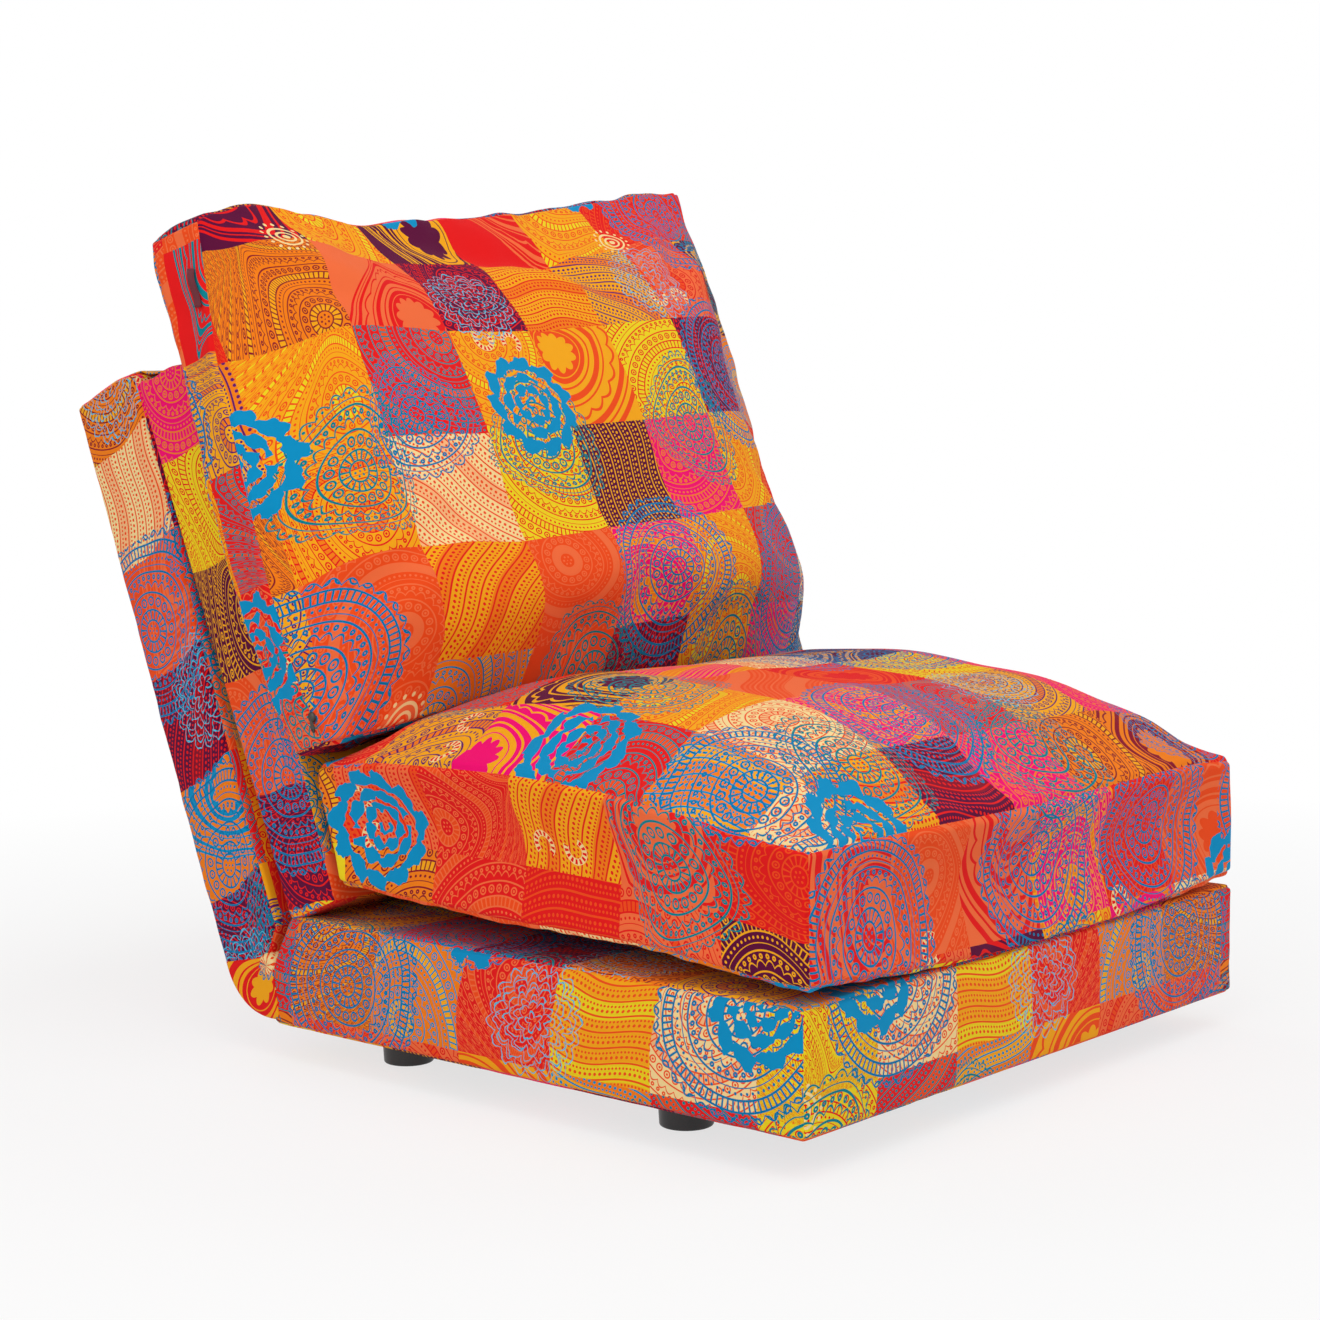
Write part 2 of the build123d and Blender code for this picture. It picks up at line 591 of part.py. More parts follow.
def head_parts():
    """Nodes of the head section."""
    cover, filling = slab_pair(head_outline)
    return {"head_cover": cover, "head_filling": filling}


def cushion_parts():
    """Nodes of the two loose cushions."""
    seat, seat_fill = seat_block(0), seat_block(COVER_WALL)
    pillow, pillow_fill = pillow_block(0), pillow_block(COVER_WALL)
    zip_tape = pillow_zip()
    return {"seat_cushion_cover": seat - seat_fill, "seat_cushion_filling": seat_fill,
            "seat_cushion_zip": seat_zip(), "seat_cushion_zip_puller": seat_zip_puller(),
            "back_cushion_cover": pillow - pillow_fill - zip_tape, "back_cushion_filling": pillow_fill,
            "back_cushion_zip": zip_tape, "back_cushion_zip_puller": pillow_zip_puller(),
            "back_cushion_tab": plain_tab()}


def write_parts():
    """Write one STEP file for each node."""
    os.makedirs("parts", exist_ok=True)
    nodes = {**base_parts(), **back_parts(), **head_parts(), **cushion_parts()}
    for name, shape in nodes.items():
        export_step(shape, f"parts/{name}.step")


write_parts()
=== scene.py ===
"""Convertible armchair: three hinged mattress sections, two loose cushions, patchwork print cloth."""
from __future__ import annotations

import json
import logging
import math
from dataclasses import dataclass, field
from enum import Enum
from typing import Callable

import bmesh
import bpy
import numpy as np
from mathutils import Matrix, Vector
from mathutils.bvhtree import BVHTree

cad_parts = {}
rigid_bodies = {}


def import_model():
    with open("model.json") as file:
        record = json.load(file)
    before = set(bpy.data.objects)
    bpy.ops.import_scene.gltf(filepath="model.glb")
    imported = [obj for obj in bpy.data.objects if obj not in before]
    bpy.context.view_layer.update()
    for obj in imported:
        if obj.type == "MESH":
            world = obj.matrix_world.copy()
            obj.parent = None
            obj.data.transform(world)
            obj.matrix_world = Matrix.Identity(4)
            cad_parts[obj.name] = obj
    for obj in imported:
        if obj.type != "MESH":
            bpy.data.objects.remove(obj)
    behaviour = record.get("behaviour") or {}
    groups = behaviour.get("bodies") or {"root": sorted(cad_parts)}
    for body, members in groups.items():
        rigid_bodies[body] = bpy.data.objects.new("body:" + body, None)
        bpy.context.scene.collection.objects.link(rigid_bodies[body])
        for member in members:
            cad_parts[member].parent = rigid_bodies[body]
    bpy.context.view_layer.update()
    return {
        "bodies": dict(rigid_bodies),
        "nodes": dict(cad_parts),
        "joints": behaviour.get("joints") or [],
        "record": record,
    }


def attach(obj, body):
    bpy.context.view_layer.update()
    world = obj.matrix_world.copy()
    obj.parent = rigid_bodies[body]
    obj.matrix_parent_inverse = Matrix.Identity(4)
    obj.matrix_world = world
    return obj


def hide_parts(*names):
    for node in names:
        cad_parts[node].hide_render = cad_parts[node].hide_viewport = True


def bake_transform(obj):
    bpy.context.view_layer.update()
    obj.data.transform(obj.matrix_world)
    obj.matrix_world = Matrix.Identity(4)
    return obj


LOG = logging.getLogger("armchair")
FULL_TURN = 2 * math.pi
Colour = tuple[float, float, float, float]
Triple = tuple[float, float, float]


def srgb(red: int, green: int, blue: int) -> Colour:
    """Linear colour of an 8-bit screen colour.

    Args:
        red: red from 0 to 255.
        green: green from 0 to 255.
        blue: blue from 0 to 255.

    Returns:
        The colour as linear red, green, blue and an alpha of one.
    """
    def linear(level: int) -> float:
        share = level / 255
        return share / 12.92 if share <= 0.04045 else ((share + 0.055) / 1.055) ** 2.4
    return (linear(red), linear(green), linear(blue), 1.0)


# Cloth colours of the print

ORANGE = srgb(248, 130, 20)
GOLD = srgb(252, 172, 22)
FLAME = srgb(246, 78, 24)
RED = srgb(236, 22, 24)
MAGENTA = srgb(250, 0, 116)
LEMON = srgb(244, 216, 30)
CORAL = srgb(248, 112, 62)
PEACH = srgb(252, 190, 132)
MAROON = srgb(92, 4, 56)
WINE = srgb(140, 8, 40)
PURPLE = srgb(104, 24, 104)
CYAN = srgb(0, 146, 200)
BLUE = srgb(0, 122, 178)
TEAL = srgb(0, 132, 146)
SKY = srgb(80, 190, 226)
CREAM = srgb(252, 222, 156)


@dataclass(frozen=True)
class Field:
    """A number that varies over a surface, as an output socket of a shader tree."""

    tree: bpy.types.NodeTree
    socket: bpy.types.NodeSocket

    def math(self, operation: str, *others: "Field | float") -> "Field":
        """Apply a math node to this field.

        Args:
            operation: name of the math node's operation.
            others: further inputs, as fields or plain numbers.

        Returns:
            The result as a field.
        """
        node = self.tree.nodes.new("ShaderNodeMath")
        node.operation = operation
        for index, value in enumerate((self,) + others):
            if isinstance(value, Field):
                self.tree.links.new(value.socket, node.inputs[index])
            else:
                node.inputs[index].default_value = value
        return Field(self.tree, node.outputs[0])

    def __add__(self, other: "Field | float") -> "Field":
        """Sum."""
        return self.math("ADD", other)

    def __sub__(self, other: "Field | float") -> "Field":
        """Difference."""
        return self.math("SUBTRACT", other)

    def __mul__(self, other: "Field | float") -> "Field":
        """Product."""
        return self.math("MULTIPLY", other)

    def __truediv__(self, other: "Field | float") -> "Field":
        """Quotient."""
        return self.math("DIVIDE", other)

    def below(self, limit: "Field | float") -> "Field":
        """One where the field is under a limit, else zero."""
        return self.math("LESS_THAN", limit)

    def above(self, limit: "Field | float") -> "Field":
        """One where the field is over a limit, else zero."""
        return self.math("GREATER_THAN", limit)

    def near(self, place: "Field | float", half_width: "Field | float") -> "Field":
        """One within half a width of a place, else zero."""
        return (self - place).math("ABSOLUTE").below(half_width)

    def either(self, other: "Field") -> "Field":
        """Union of two masks."""
        return self.math("MAXIMUM", other)

    def fraction(self) -> "Field":
        """Part after the decimal point, never negative."""
        return self.math("FRACT")


@dataclass(frozen=True)
class Polar:
    """Distance and turn share round a centre."""

    radius: Field
    turn: Field

    @staticmethod
    def of(x: Field, y: Field) -> "Polar":
        """Polar coordinates of two plain ones."""
        radius = (x * x + y * y).math("SQRT")
        return Polar(radius, y.math("ARCTAN2", x) / FULL_TURN + 0.5)

    def ring(self, at: float, half_width: float) -> Field:
        """Mask of a thin ring."""
        return self.radius.near(at, half_width)

    def beads(self, at: float, count: int, size: float) -> Field:
        """Distance from the nearest of the beads round a circle, less their size.

        Args:
            at: the circle's radius.
            count: how many beads.
            size: their radius.

        Returns:
            The distance.
        """
        along = ((self.turn * count).fraction() - 0.5) * (FULL_TURN * at / count)
        across = self.radius - at
        return (along * along + across * across).math("SQRT") - size

    def ticks(self, low: float, high: float, count: int, duty: float) -> Field:
        """Mask of short radial bars between two radii."""
        bars = (self.turn * count).fraction().below(duty)
        return bars * self.radius.near((low + high) / 2, (high - low) / 2)

    def scallops(self, at: float, count: int, rise: float) -> Field:
        """Distance outside a scalloped circle."""
        wave = (self.turn * (count * math.pi)).math("SINE").math("ABSOLUTE")
        return self.radius - at - wave * rise


class SocketKind(Enum):
    """Kinds of socket on the shader groups."""

    NUMBER = "NodeSocketFloat"
    COLOUR = "NodeSocketColor"
    VECTOR = "NodeSocketVector"


def shader_group(name: str, inputs: dict[str, SocketKind], outputs: dict[str, SocketKind]
                 ) -> tuple[bpy.types.NodeTree, bpy.types.Node, bpy.types.Node]:
    """New shader group with its entry and exit nodes.

    Args:
        name: the group's name.
        inputs: kind of each input.
        outputs: kind of each output.

    Returns:
        The group, its entry and its exit.
    """
    group = bpy.data.node_groups.new(name, "ShaderNodeTree")
    for direction, sockets in (("INPUT", inputs), ("OUTPUT", outputs)):
        for key, kind in sockets.items():
            group.interface.new_socket(key, in_out=direction, socket_type=kind.value)
    return group, group.nodes.new("NodeGroupInput"), group.nodes.new("NodeGroupOutput")


def vector_parts(tree: bpy.types.NodeTree, vector: bpy.types.NodeSocket) -> list[Field]:
    """The three numbers of a vector or colour.

    Args:
        tree: the shader tree.
        vector: the socket that gives it.

    Returns:
        Its parts as fields.
    """
    split = tree.nodes.new("ShaderNodeSeparateXYZ")
    tree.links.new(vector, split.inputs[0])
    return [Field(tree, output) for output in split.outputs]


def noise_at(noise: bpy.types.Node, x: Field, y: Field, seed: float = 0.0) -> list[Field]:
    """Three shares from a noise node at a place.

    Args:
        noise: the noise node.
        x: first place.
        y: second place.
        seed: third place, to tell one use from another.

    Returns:
        The shares as fields.
    """
    tree = x.tree
    join = tree.nodes.new("ShaderNodeCombineXYZ")
    tree.links.new(x.socket, join.inputs[0])
    tree.links.new(y.socket, join.inputs[1])
    join.inputs[2].default_value = seed
    tree.links.new(join.outputs[0], noise.inputs["Vector"])
    return vector_parts(tree, noise.outputs["Color"])


@dataclass
class Motif:
    """A shader group that draws one ornament round its own centre, in metres."""

    name: str
    draw: Callable[[Field, Field], tuple[Field, Field | None]]
    group: bpy.types.NodeTree | None = None

    def build(self) -> None:
        """Make the group with plain inputs X and Y and two masks, lines and fill."""
        group, entry, leave = shader_group(self.name, {"X": SocketKind.NUMBER, "Y": SocketKind.NUMBER},
                                           {"Lines": SocketKind.NUMBER, "Fill": SocketKind.NUMBER})
        masks = self.draw(Field(group, entry.outputs[0]), Field(group, entry.outputs[1]))
        for index, mask in enumerate(masks):
            if mask is not None:
                group.links.new(mask.socket, leave.inputs[index])
        self.group = group

    def at(self, x: Field, y: Field) -> tuple[Field, Field]:
        """Place the motif in another tree.

        Args:
            x: first coordinate in metres.
            y: second coordinate in metres.

        Returns:
            The masks of the motif's lines and of its filled parts.
        """
        node = x.tree.nodes.new("ShaderNodeGroup")
        node.node_tree = self.group
        x.tree.links.new(x.socket, node.inputs[0])
        x.tree.links.new(y.socket, node.inputs[1])
        return Field(x.tree, node.outputs[0]), Field(x.tree, node.outputs[1])


LINE = 0.0007


@dataclass(frozen=True)
class Bands:
    """Rows of lines, dots, bars, rings and scallops that repeat outwards from a centre.

    Each row holds its place in the period, the pitch of its marks and their size.
    """

    period: float = 0.0640
    lines: tuple[float, ...] = (0.0, 0.0110, 0.0212, 0.0385, 0.0585)
    dot_row: Triple = (0.0055, 0.0064, 0.0014)
    bar_row: Triple = (0.0161, 0.0058, 0.0046)
    ring_row: Triple = (0.0300, 0.0124, 0.0040)
    scallop_row: Triple = (0.0440, 0.0118, 0.0052)
    bead_row: Triple = (0.0535, 0.0088, 0.0016)
    line: float = 0.0010
    dot: float = 0.0012

    def draw(self, distance: Field, turn: Field) -> tuple[Field, Field]:
        """Lines and toned band at a distance and a share of a turn.

        Args:
            distance: distance from the centre.
            turn: share of a turn round it.

        Returns:
            The masks of the lines and of the toned band.
        """
        step = (distance / self.period).math("FLOOR") * self.period
        place = distance - step

        def row(at: float, pitch: float) -> tuple[Field, Field]:
            """Place along and across the nearest mark of a row."""
            count = ((step + at) * (FULL_TURN / pitch)).math("FLOOR") + 1.0
            return ((turn * count).fraction() - 0.5) * pitch, place - at

        def reach(at: float, pitch: float) -> Field:
            """Distance from the nearest mark of a row."""
            along, across = row(at, pitch)
            return (along * along + across * across).math("SQRT")

        lines = reach(*self.dot_row[:2]).below(self.dot_row[2])
        for at in self.lines:
            lines = lines.either(place.near(at, self.line))
        along, across = row(*self.bar_row[:2])
        lines = lines.either(along.near(0.0, self.line) * across.near(0.0, self.bar_row[2]))
        ring = reach(*self.ring_row[:2])
        lines = lines.either(ring.near(self.ring_row[2], self.line)).either(ring.below(self.dot))
        along, across = row(*self.scallop_row[:2])
        arch = (along * (math.pi / self.scallop_row[1])).math("COSINE") * self.scallop_row[2]
        lines = lines.either((across - arch).near(0.0, self.line))
        lines = lines.either(reach(*self.bead_row[:2]).near(self.bead_row[2], self.line))
        return lines, place.near(self.bar_row[0], self.bar_row[2])


@dataclass(frozen=True)
class FineBands(Bands):
    """Closer rows for the ornaments that fill a patch."""

    period: float = 0.0500
    lines: tuple[float, ...] = (0.0, 0.0088, 0.0176, 0.0300, 0.0450)
    dot_row: Triple = (0.0044, 0.0052, 0.0012)
    bar_row: Triple = (0.0132, 0.0050, 0.0040)
    ring_row: Triple = (0.0238, 0.0098, 0.0030)
    scallop_row: Triple = (0.0340, 0.0098, 0.0042)
    bead_row: Triple = (0.0410, 0.0070, 0.0013)
    line: float = LINE


def drop(x: Field, y: Field, length: float) -> tuple[Field, Field]:
    """Coordinates in which rings round the centre become bent drops.

    Args:
        x: first place in metres.
        y: second place in metres.
        length: length of the drop in metres.

    Returns:
        The new places.
    """
    share = y / length
    rise = share.math("MAXIMUM", 0.0)
    bent = x - rise * rise * (length * 0.42)
    taper = (share * -1.0 + 1.0).math("MAXIMUM", 0.12).math("MINIMUM", 1.25)
    return bent / taper, y


def rimmed(wheel: Polar, at: float, count: int, rise: float) -> Field:
    """Banded rows inside a scalloped rim.

    Args:
        wheel: places round the centre.
        at: the rim's radius.
        count: how many scallops.
        rise: their height.

    Returns:
        The mask of the lines.
    """
    rim = wheel.scallops(at, count, rise)
    rows = Bands().draw(wheel.radius, wheel.turn)[0] * rim.below(0.0)
    return rows.either(rim.near(0.0, LINE * 1.2))


def draw_mandala(x: Field, y: Field) -> tuple[Field, None]:
    """Wheel of banded rows with a scalloped rim."""
    return rimmed(Polar.of(x, y), 0.0885, 36, 0.0062), None


def draw_paisley(x: Field, y: Field) -> tuple[Field, None]:
    """Bent drop of banded rows with a scalloped rim."""
    return rimmed(Polar.of(*drop(x, y, 0.150)), 0.0680, 28, 0.0060), None


def draw_wheels(x: Field, y: Field) -> tuple[Field, Field]:
    """Banded rows round a centre, without an end."""
    wheel = Polar.of(x, y)
    return FineBands().draw(wheel.radius, wheel.turn)


def draw_drops(x: Field, y: Field) -> tuple[Field, Field]:
    """Banded rows round a bent drop, without an end."""
    wheel = Polar.of(*drop(x, y, 0.120))
    return FineBands().draw(wheel.radius, wheel.turn)


def draw_waves(x: Field, y: Field) -> tuple[Field, Field]:
    """Flowing rows of lines and dots.

    Args:
        x: first place in metres.
        y: second place in metres.

    Returns:
        The masks of its lines and of its fill.
    """
    bend = (x * 24.0).math("SINE") * 0.0110 + (x * 61.0 + y * 14.0).math("SINE") * 0.0026
    flow = y + bend
    row = 0.0150
    share = (flow / row).fraction() * row
    lines = share.near(0.0012, LINE * 1.3)
    for at, pitch, size in ((0.0060, 0.0040, 0.0012), (0.0108, 0.0056, 0.0016)):
        along = ((x / pitch).fraction() - 0.5) * pitch
        across = share - at
        lines = lines.either((along * along + across * across).math("SQRT").below(size))
    return lines, (flow / (row * 4)).fraction().below(0.32)


def draw_arches(x: Field, y: Field) -> tuple[Field, None]:
    """Broad nested bands with scalloped linings round a plain heart.

    Args:
        x: first place in metres.
        y: second place in metres.

    Returns:
        The mask of its lines, and no fill.
    """
    wheel = Polar.of(*drop(x, y, 0.110))
    bands = wheel.radius.below(0.0305) * wheel.scallops(0.0205, 11, 0.0060).above(0.0)
    for at, half_width in ((0.0345, 0.0028), (0.0425, 0.0011), (0.0530, 0.0034), (0.0615, 0.0011),
                           (0.0860, 0.0034), (0.0945, 0.0012), (0.1040, 0.0030)):
        bands = bands.either(wheel.ring(at, half_width))
    return bands.either(wheel.scallops(0.0690, 21, 0.0058).near(0.0016, 0.0016)), None


def shaken(x: Field, y: Field, pitch: float, reach: float) -> tuple[Field, Field]:
    """Coordinates shifted a little by noise.

    Args:
        x: first place in metres.
        y: second place in metres.
        pitch: size of the noise.
        reach: the furthest shift.

    Returns:
        The shifted places.
    """
    noise = x.tree.nodes.new("ShaderNodeTexNoise")
    noise.inputs["Scale"].default_value = 1 / pitch
    noise.inputs["Detail"].default_value = 1.0
    shares = noise_at(noise, x, y)
    return x + (shares[0] - 0.5) * (2 * reach), y + (shares[1] - 0.5) * (2 * reach)


def draw_wreath(x: Field, y: Field) -> tuple[Field, None]:
    """Broken rings of broad ragged leaves.

    Args:
        x: first place in metres.
        y: second place in metres.

    Returns:
        The mask of its lines, and no fill.
    """
    wheel = Polar.of(*shaken(x, y, 0.010, 0.0052))
    twist = wheel.turn + wheel.radius * 2.2

    def lobed(turn: Field, count: int, at: Field | float, width: float, least: float) -> Field:
        """Ring that swells into leaves."""
        lobes = (turn * (count * math.pi)).math("SINE").math("ABSOLUTE")
        return wheel.radius.near(at, lobes * width + least)

    bend = (twist * (11 * math.pi)).math("SINE").math("ABSOLUTE") * 0.0035 + 0.0465
    outer = lobed(twist, 11, bend, 0.0068, 0.0024)
    middle = lobed(wheel.turn, 8, 0.0320, 0.0042, 0.0018) * (wheel.turn * 2.0 + 0.3).fraction().below(0.90)
    inner = lobed(twist, 7, 0.0185, 0.0042, 0.0016)
    heart = wheel.ring(0.0068, 0.0019) * (wheel.turn + 0.2).fraction().below(0.62)
    return outer.either(middle).either(inner).either(heart), None


def draw_lace(x: Field, y: Field) -> tuple[Field, None]:
    """Loose flower of overlapping scalloped outlines.

    Args:
        x: first place in metres.
        y: second place in metres.

    Returns:
        The mask of its lines, and no fill.
    """
    wheel = Polar.of(*shaken(x, y, 0.013, 0.0055))
    lines = wheel.scallops(0.0040, 5, 0.0060).near(0.0, LINE)
    for at, count, rise in ((0.0125, 8, 0.0070), (0.0165, 11, 0.0080), (0.0240, 11, 0.0085),
                            (0.0290, 14, 0.0080), (0.0365, 14, 0.0085), (0.0410, 18, 0.0080),
                            (0.0480, 18, 0.0080)):
        lines = lines.either(wheel.scallops(at, count, rise).near(0.0, LINE * 0.9))
    return lines, None


def draw_sun(x: Field, y: Field) -> tuple[Field, None]:
    """Bright dot in two rings with a crown of drops.

    Args:
        x: first place in metres.
        y: second place in metres.

    Returns:
        The mask of its lines, and no fill.
    """
    wheel = Polar.of(x, y)
    rings = wheel.ring(0.0086, 0.0013).either(wheel.ring(0.0152, 0.0013))
    drops = wheel.beads(0.0212, 15, 0.0018).below(0.0)
    return wheel.radius.below(0.0036).either(rings).either(drops), None


def draw_curls(x: Field, y: Field) -> tuple[Field, Field]:
    """Two barred hooks side by side.

    Args:
        x: first place in metres.
        y: second place in metres.

    Returns:
        The masks of its lines and of its fill.
    """
    lines, bars = None, None
    for centre, opening in ((-0.016, 0.10), (0.019, 0.55)):
        wheel = Polar.of(x - centre, y - centre * 0.45)
        hook = (wheel.turn + opening).fraction().below(0.74)
        body = wheel.ring(0.0105, 0.0030) * hook
        ticks = wheel.ticks(0.0082, 0.0128, 13, 0.52) * hook
        lines = body if lines is None else lines.either(body)
        bars = ticks if bars is None else bars.either(ticks)
    return lines, bars


@dataclass(frozen=True)
class PatchStyle:
    """Colours of one kind of patch: its ground, its broad tone and its lines."""

    ground: Colour
    tone: Colour
    lines: Colour


PATCH_STYLES = (
    PatchStyle(ORANGE, GOLD, WINE),
    PatchStyle(GOLD, ORANGE, RED),
    PatchStyle(RED, FLAME, TEAL),
    PatchStyle(MAGENTA, MAGENTA, ORANGE),
    PatchStyle(LEMON, LEMON, RED),
    PatchStyle(GOLD, ORANGE, PURPLE),
    PatchStyle(MAROON, MAROON, GOLD),
    PatchStyle(FLAME, CORAL, CORAL),
    PatchStyle(RED, RED, FLAME),
    PatchStyle(ORANGE, GOLD, CYAN),
    PatchStyle(MAGENTA, ORANGE, GOLD),
    PatchStyle(CORAL, FLAME, RED),
    PatchStyle(CREAM, PEACH, FLAME),
    PatchStyle(RED, FLAME, CORAL),
    PatchStyle(GOLD, LEMON, FLAME),
    PatchStyle(MAROON, WINE, RED),
)


@dataclass(frozen=True)
class Overlay:
    """Scattered ornaments of one kind over the patches: their order, spacing, size, share and colours."""

    seed: float
    pitch: float
    motif: str
    odds: float
    ink: Colour
    tone: Colour | None = None
    scale: float = 1.0


OVERLAYS = (
    Overlay(17.9, 0.2350, "sun", 0.30, CREAM),
    Overlay(2.47, 0.2700, "curls", 0.34, CREAM, RED),
    Overlay(7.77, 0.2420, "paisley", 0.54, TEAL),
    Overlay(3.31, 0.2260, "mandala", 0.44, BLUE),
    Overlay(5.21, 0.2510, "paisley", 0.38, BLUE, scale=0.85),
    Overlay(9.41, 0.3100, "lace", 0.34, SKY),
    Overlay(11.13, 0.3200, "wreath", 0.62, CYAN),
)


@dataclass
class PrintCloth:
    """Collage print: square patches cut from larger ornaments, with blue line-work over them."""

    patch: float = 0.116
    patch_drift: float = 0.105
    ornament_drift: float = 0.24
    motifs: dict[str, Motif] = field(default_factory=dict)
    group: bpy.types.NodeTree | None = None

    def build_motifs(self) -> None:
        """Make the ornament groups once."""
        for name, draw in (("mandala", draw_mandala), ("paisley", draw_paisley), ("wheels", draw_wheels),
                           ("drops", draw_drops), ("waves", draw_waves), ("arches", draw_arches),
                           ("wreath", draw_wreath), ("lace", draw_lace), ("sun", draw_sun),
                           ("curls", draw_curls)):
            self.motifs[name] = Motif(f"ornament {name}", draw)
            self.motifs[name].build()

    @staticmethod
    def chance(x: Field, y: Field, seed: float) -> list[Field]:
        """Three random shares for a pair of whole numbers."""
        return noise_at(x.tree.nodes.new("ShaderNodeTexWhiteNoise"), x, y, seed)

    @staticmethod
    def turned(x: Field, y: Field, angle: Field) -> tuple[Field, Field]:
        """Coordinates turned by an angle field."""
        cosine, sine = angle.math("COSINE"), angle.math("SINE")
        return x * cosine - y * sine, x * sine + y * cosine

    @staticmethod
    def palette(chance: Field, colours: list[Colour]) -> bpy.types.NodeSocket:
        """Pick one of several colours by a random share.

        Args:
            chance: the random share.
            colours: the colours.

        Returns:
            The colour's socket.
        """
        ramp = chance.tree.nodes.new("ShaderNodeValToRGB")
        ramp.color_ramp.interpolation = "CONSTANT"
        points = ramp.color_ramp.elements
        while len(points) < len(colours):
            points.new(0.5)
        for index, colour in enumerate(colours):
            points[index].position = index / len(colours)
            points[index].color = colour
        chance.tree.links.new(chance.socket, ramp.inputs[0])
        return ramp.outputs[0]

    @staticmethod
    def over(below: bpy.types.NodeSocket, above: bpy.types.NodeSocket | Colour,
             mask: Field) -> bpy.types.NodeSocket:
        """Lay one colour over another where a mask is one.

        Args:
            below: the colour underneath.
            above: the colour on top.
            mask: where the top shows.

        Returns:
            The colour's socket.
        """
        tree = mask.tree
        mix = tree.nodes.new("ShaderNodeMix")
        mix.data_type = "RGBA"
        tree.links.new(mask.socket, mix.inputs[0])
        tree.links.new(below, mix.inputs[6])
        if isinstance(above, tuple):
            mix.inputs[7].default_value = above
        else:
            tree.links.new(above, mix.inputs[7])
        return mix.outputs[2]

    def patches(self, u: Field, v: Field) -> bpy.types.NodeSocket:
        """Colour of the square patches.

        Args:
            u: first cloth coordinate in metres.
            v: second cloth coordinate in metres.

        Returns:
            The colour's socket.
        """
        column, line = (u / self.patch).math("FLOOR"), (v / self.patch).math("FLOOR")
        first = self.chance(column, line, 1.7)
        second = self.chance(column, line, 5.3)
        x, y = (((place / self.patch).fraction() - 0.5) * self.patch + (shift - 0.5) * self.patch_drift
                for place, shift in ((u, first[1]), (v, first[2])))
        x, y = self.turned(x, y, second[1] * FULL_TURN)
        names = ("wheels", "arches", "drops", "waves", "wheels", "drops", "arches", "drops", "wheels",
                 "waves")
        masks = {name: self.motifs[name].at(x, y) for name in ("wheels", "arches", "drops", "waves")}
        lines, fill = None, None
        for index, name in enumerate(names):
            chosen = second[0].near((index + 0.5) / len(names), 0.5 / len(names))
            part = [mask * chosen for mask in masks[name]]
            lines = part[0] if lines is None else lines.either(part[0])
            fill = part[1] if fill is None else fill.either(part[1])
        ground = self.palette(first[0], [style.ground for style in PATCH_STYLES])
        tone = self.palette(first[0], [style.tone for style in PATCH_STYLES])
        ink = self.palette(first[0], [style.lines for style in PATCH_STYLES])
        return self.over(self.over(ground, tone, fill), ink, lines)

    def overlay(self, u: Field, v: Field, layer: Overlay) -> tuple[Field, Field]:
        """Masks of large ornaments that run across the patches.

        Args:
            u: first cloth coordinate in metres.
            v: second cloth coordinate in metres.
            layer: which ornaments, how large, how far apart and how often.

        Returns:
            The masks of the ornaments' lines and fill.
        """
        places = (u / layer.pitch + layer.seed, v / layer.pitch + layer.seed * 0.37)
        chance = self.chance(places[0].math("FLOOR"), places[1].math("FLOOR"), layer.seed)
        x, y = ((place.fraction() - 0.5) * layer.pitch + (shift - 0.5) * (layer.pitch * self.ornament_drift)
                for place, shift in zip(places, chance[1:]))
        x, y = self.turned(x, y, chance[1] * FULL_TURN)
        lines, fill = self.motifs[layer.motif].at(x / layer.scale, y / layer.scale)
        shown = chance[0].below(layer.odds)
        return lines * shown, fill * shown

    def build(self) -> None:
        """Make the group that turns cloth coordinates into the print's colour."""
        self.build_motifs()
        group, entry, leave = shader_group("patchwork print", {"Cloth": SocketKind.VECTOR},
                                           {"Color": SocketKind.COLOUR})
        u, v, _ = vector_parts(group, entry.outputs[0])
        colour = self.patches(u, v)
        for layer in OVERLAYS:
            lines, fill = self.overlay(u, v, layer)
            colour = self.over(colour, layer.ink, lines)
            if layer.tone is not None:
                colour = self.over(colour, layer.tone, fill)
        group.links.new(colour, leave.inputs[0])
        self.group = group


# Sizes shared by the pieces, in metres, as depth behind the base's front face and height above
# its underside

MIDDLE_DEPTH = 0.463215922
FLOOR_GAP = 0.038
PIVOT = (0.664, 0.053)
LEAN = math.radians(22.5)
ALONG = (math.sin(LEAN), math.cos(LEAN))
FRONTWARD = (-math.cos(LEAN), math.sin(LEAN))
BACK_LENGTH = 0.603
BACK_FRONT = 0.051
HALF_WIDTH = 0.350
BASE_SIZE = (0.700, 0.660, 0.106)
BACK_SIZE = (0.700, 0.599, 0.104)
HEAD_SIZE = (0.700, 0.568, 0.104)


def chair(x: np.ndarray | float, depth: np.ndarray | float, height: np.ndarray | float) -> np.ndarray:
    """Points of the chair's own frame from widths, depths and heights."""
    return np.stack(np.broadcast_arrays(x, depth - MIDDLE_DEPTH, height + FLOOR_GAP), axis=-1)


def on_back(along: np.ndarray | float, frontward: np.ndarray | float) -> tuple[np.ndarray, np.ndarray]:
    """Depth and height of places along and in front of the back section's pivot."""
    return (PIVOT[0] + along * ALONG[0] + frontward * FRONTWARD[0],
            PIVOT[1] + along * ALONG[1] + frontward * FRONTWARD[1])


def on_head(down: np.ndarray | float, frontward: np.ndarray | float) -> tuple[np.ndarray, np.ndarray]:
    """Depth and height of places down and in front of the top fold."""
    return on_back(BACK_LENGTH - down, BACK_FRONT + frontward)


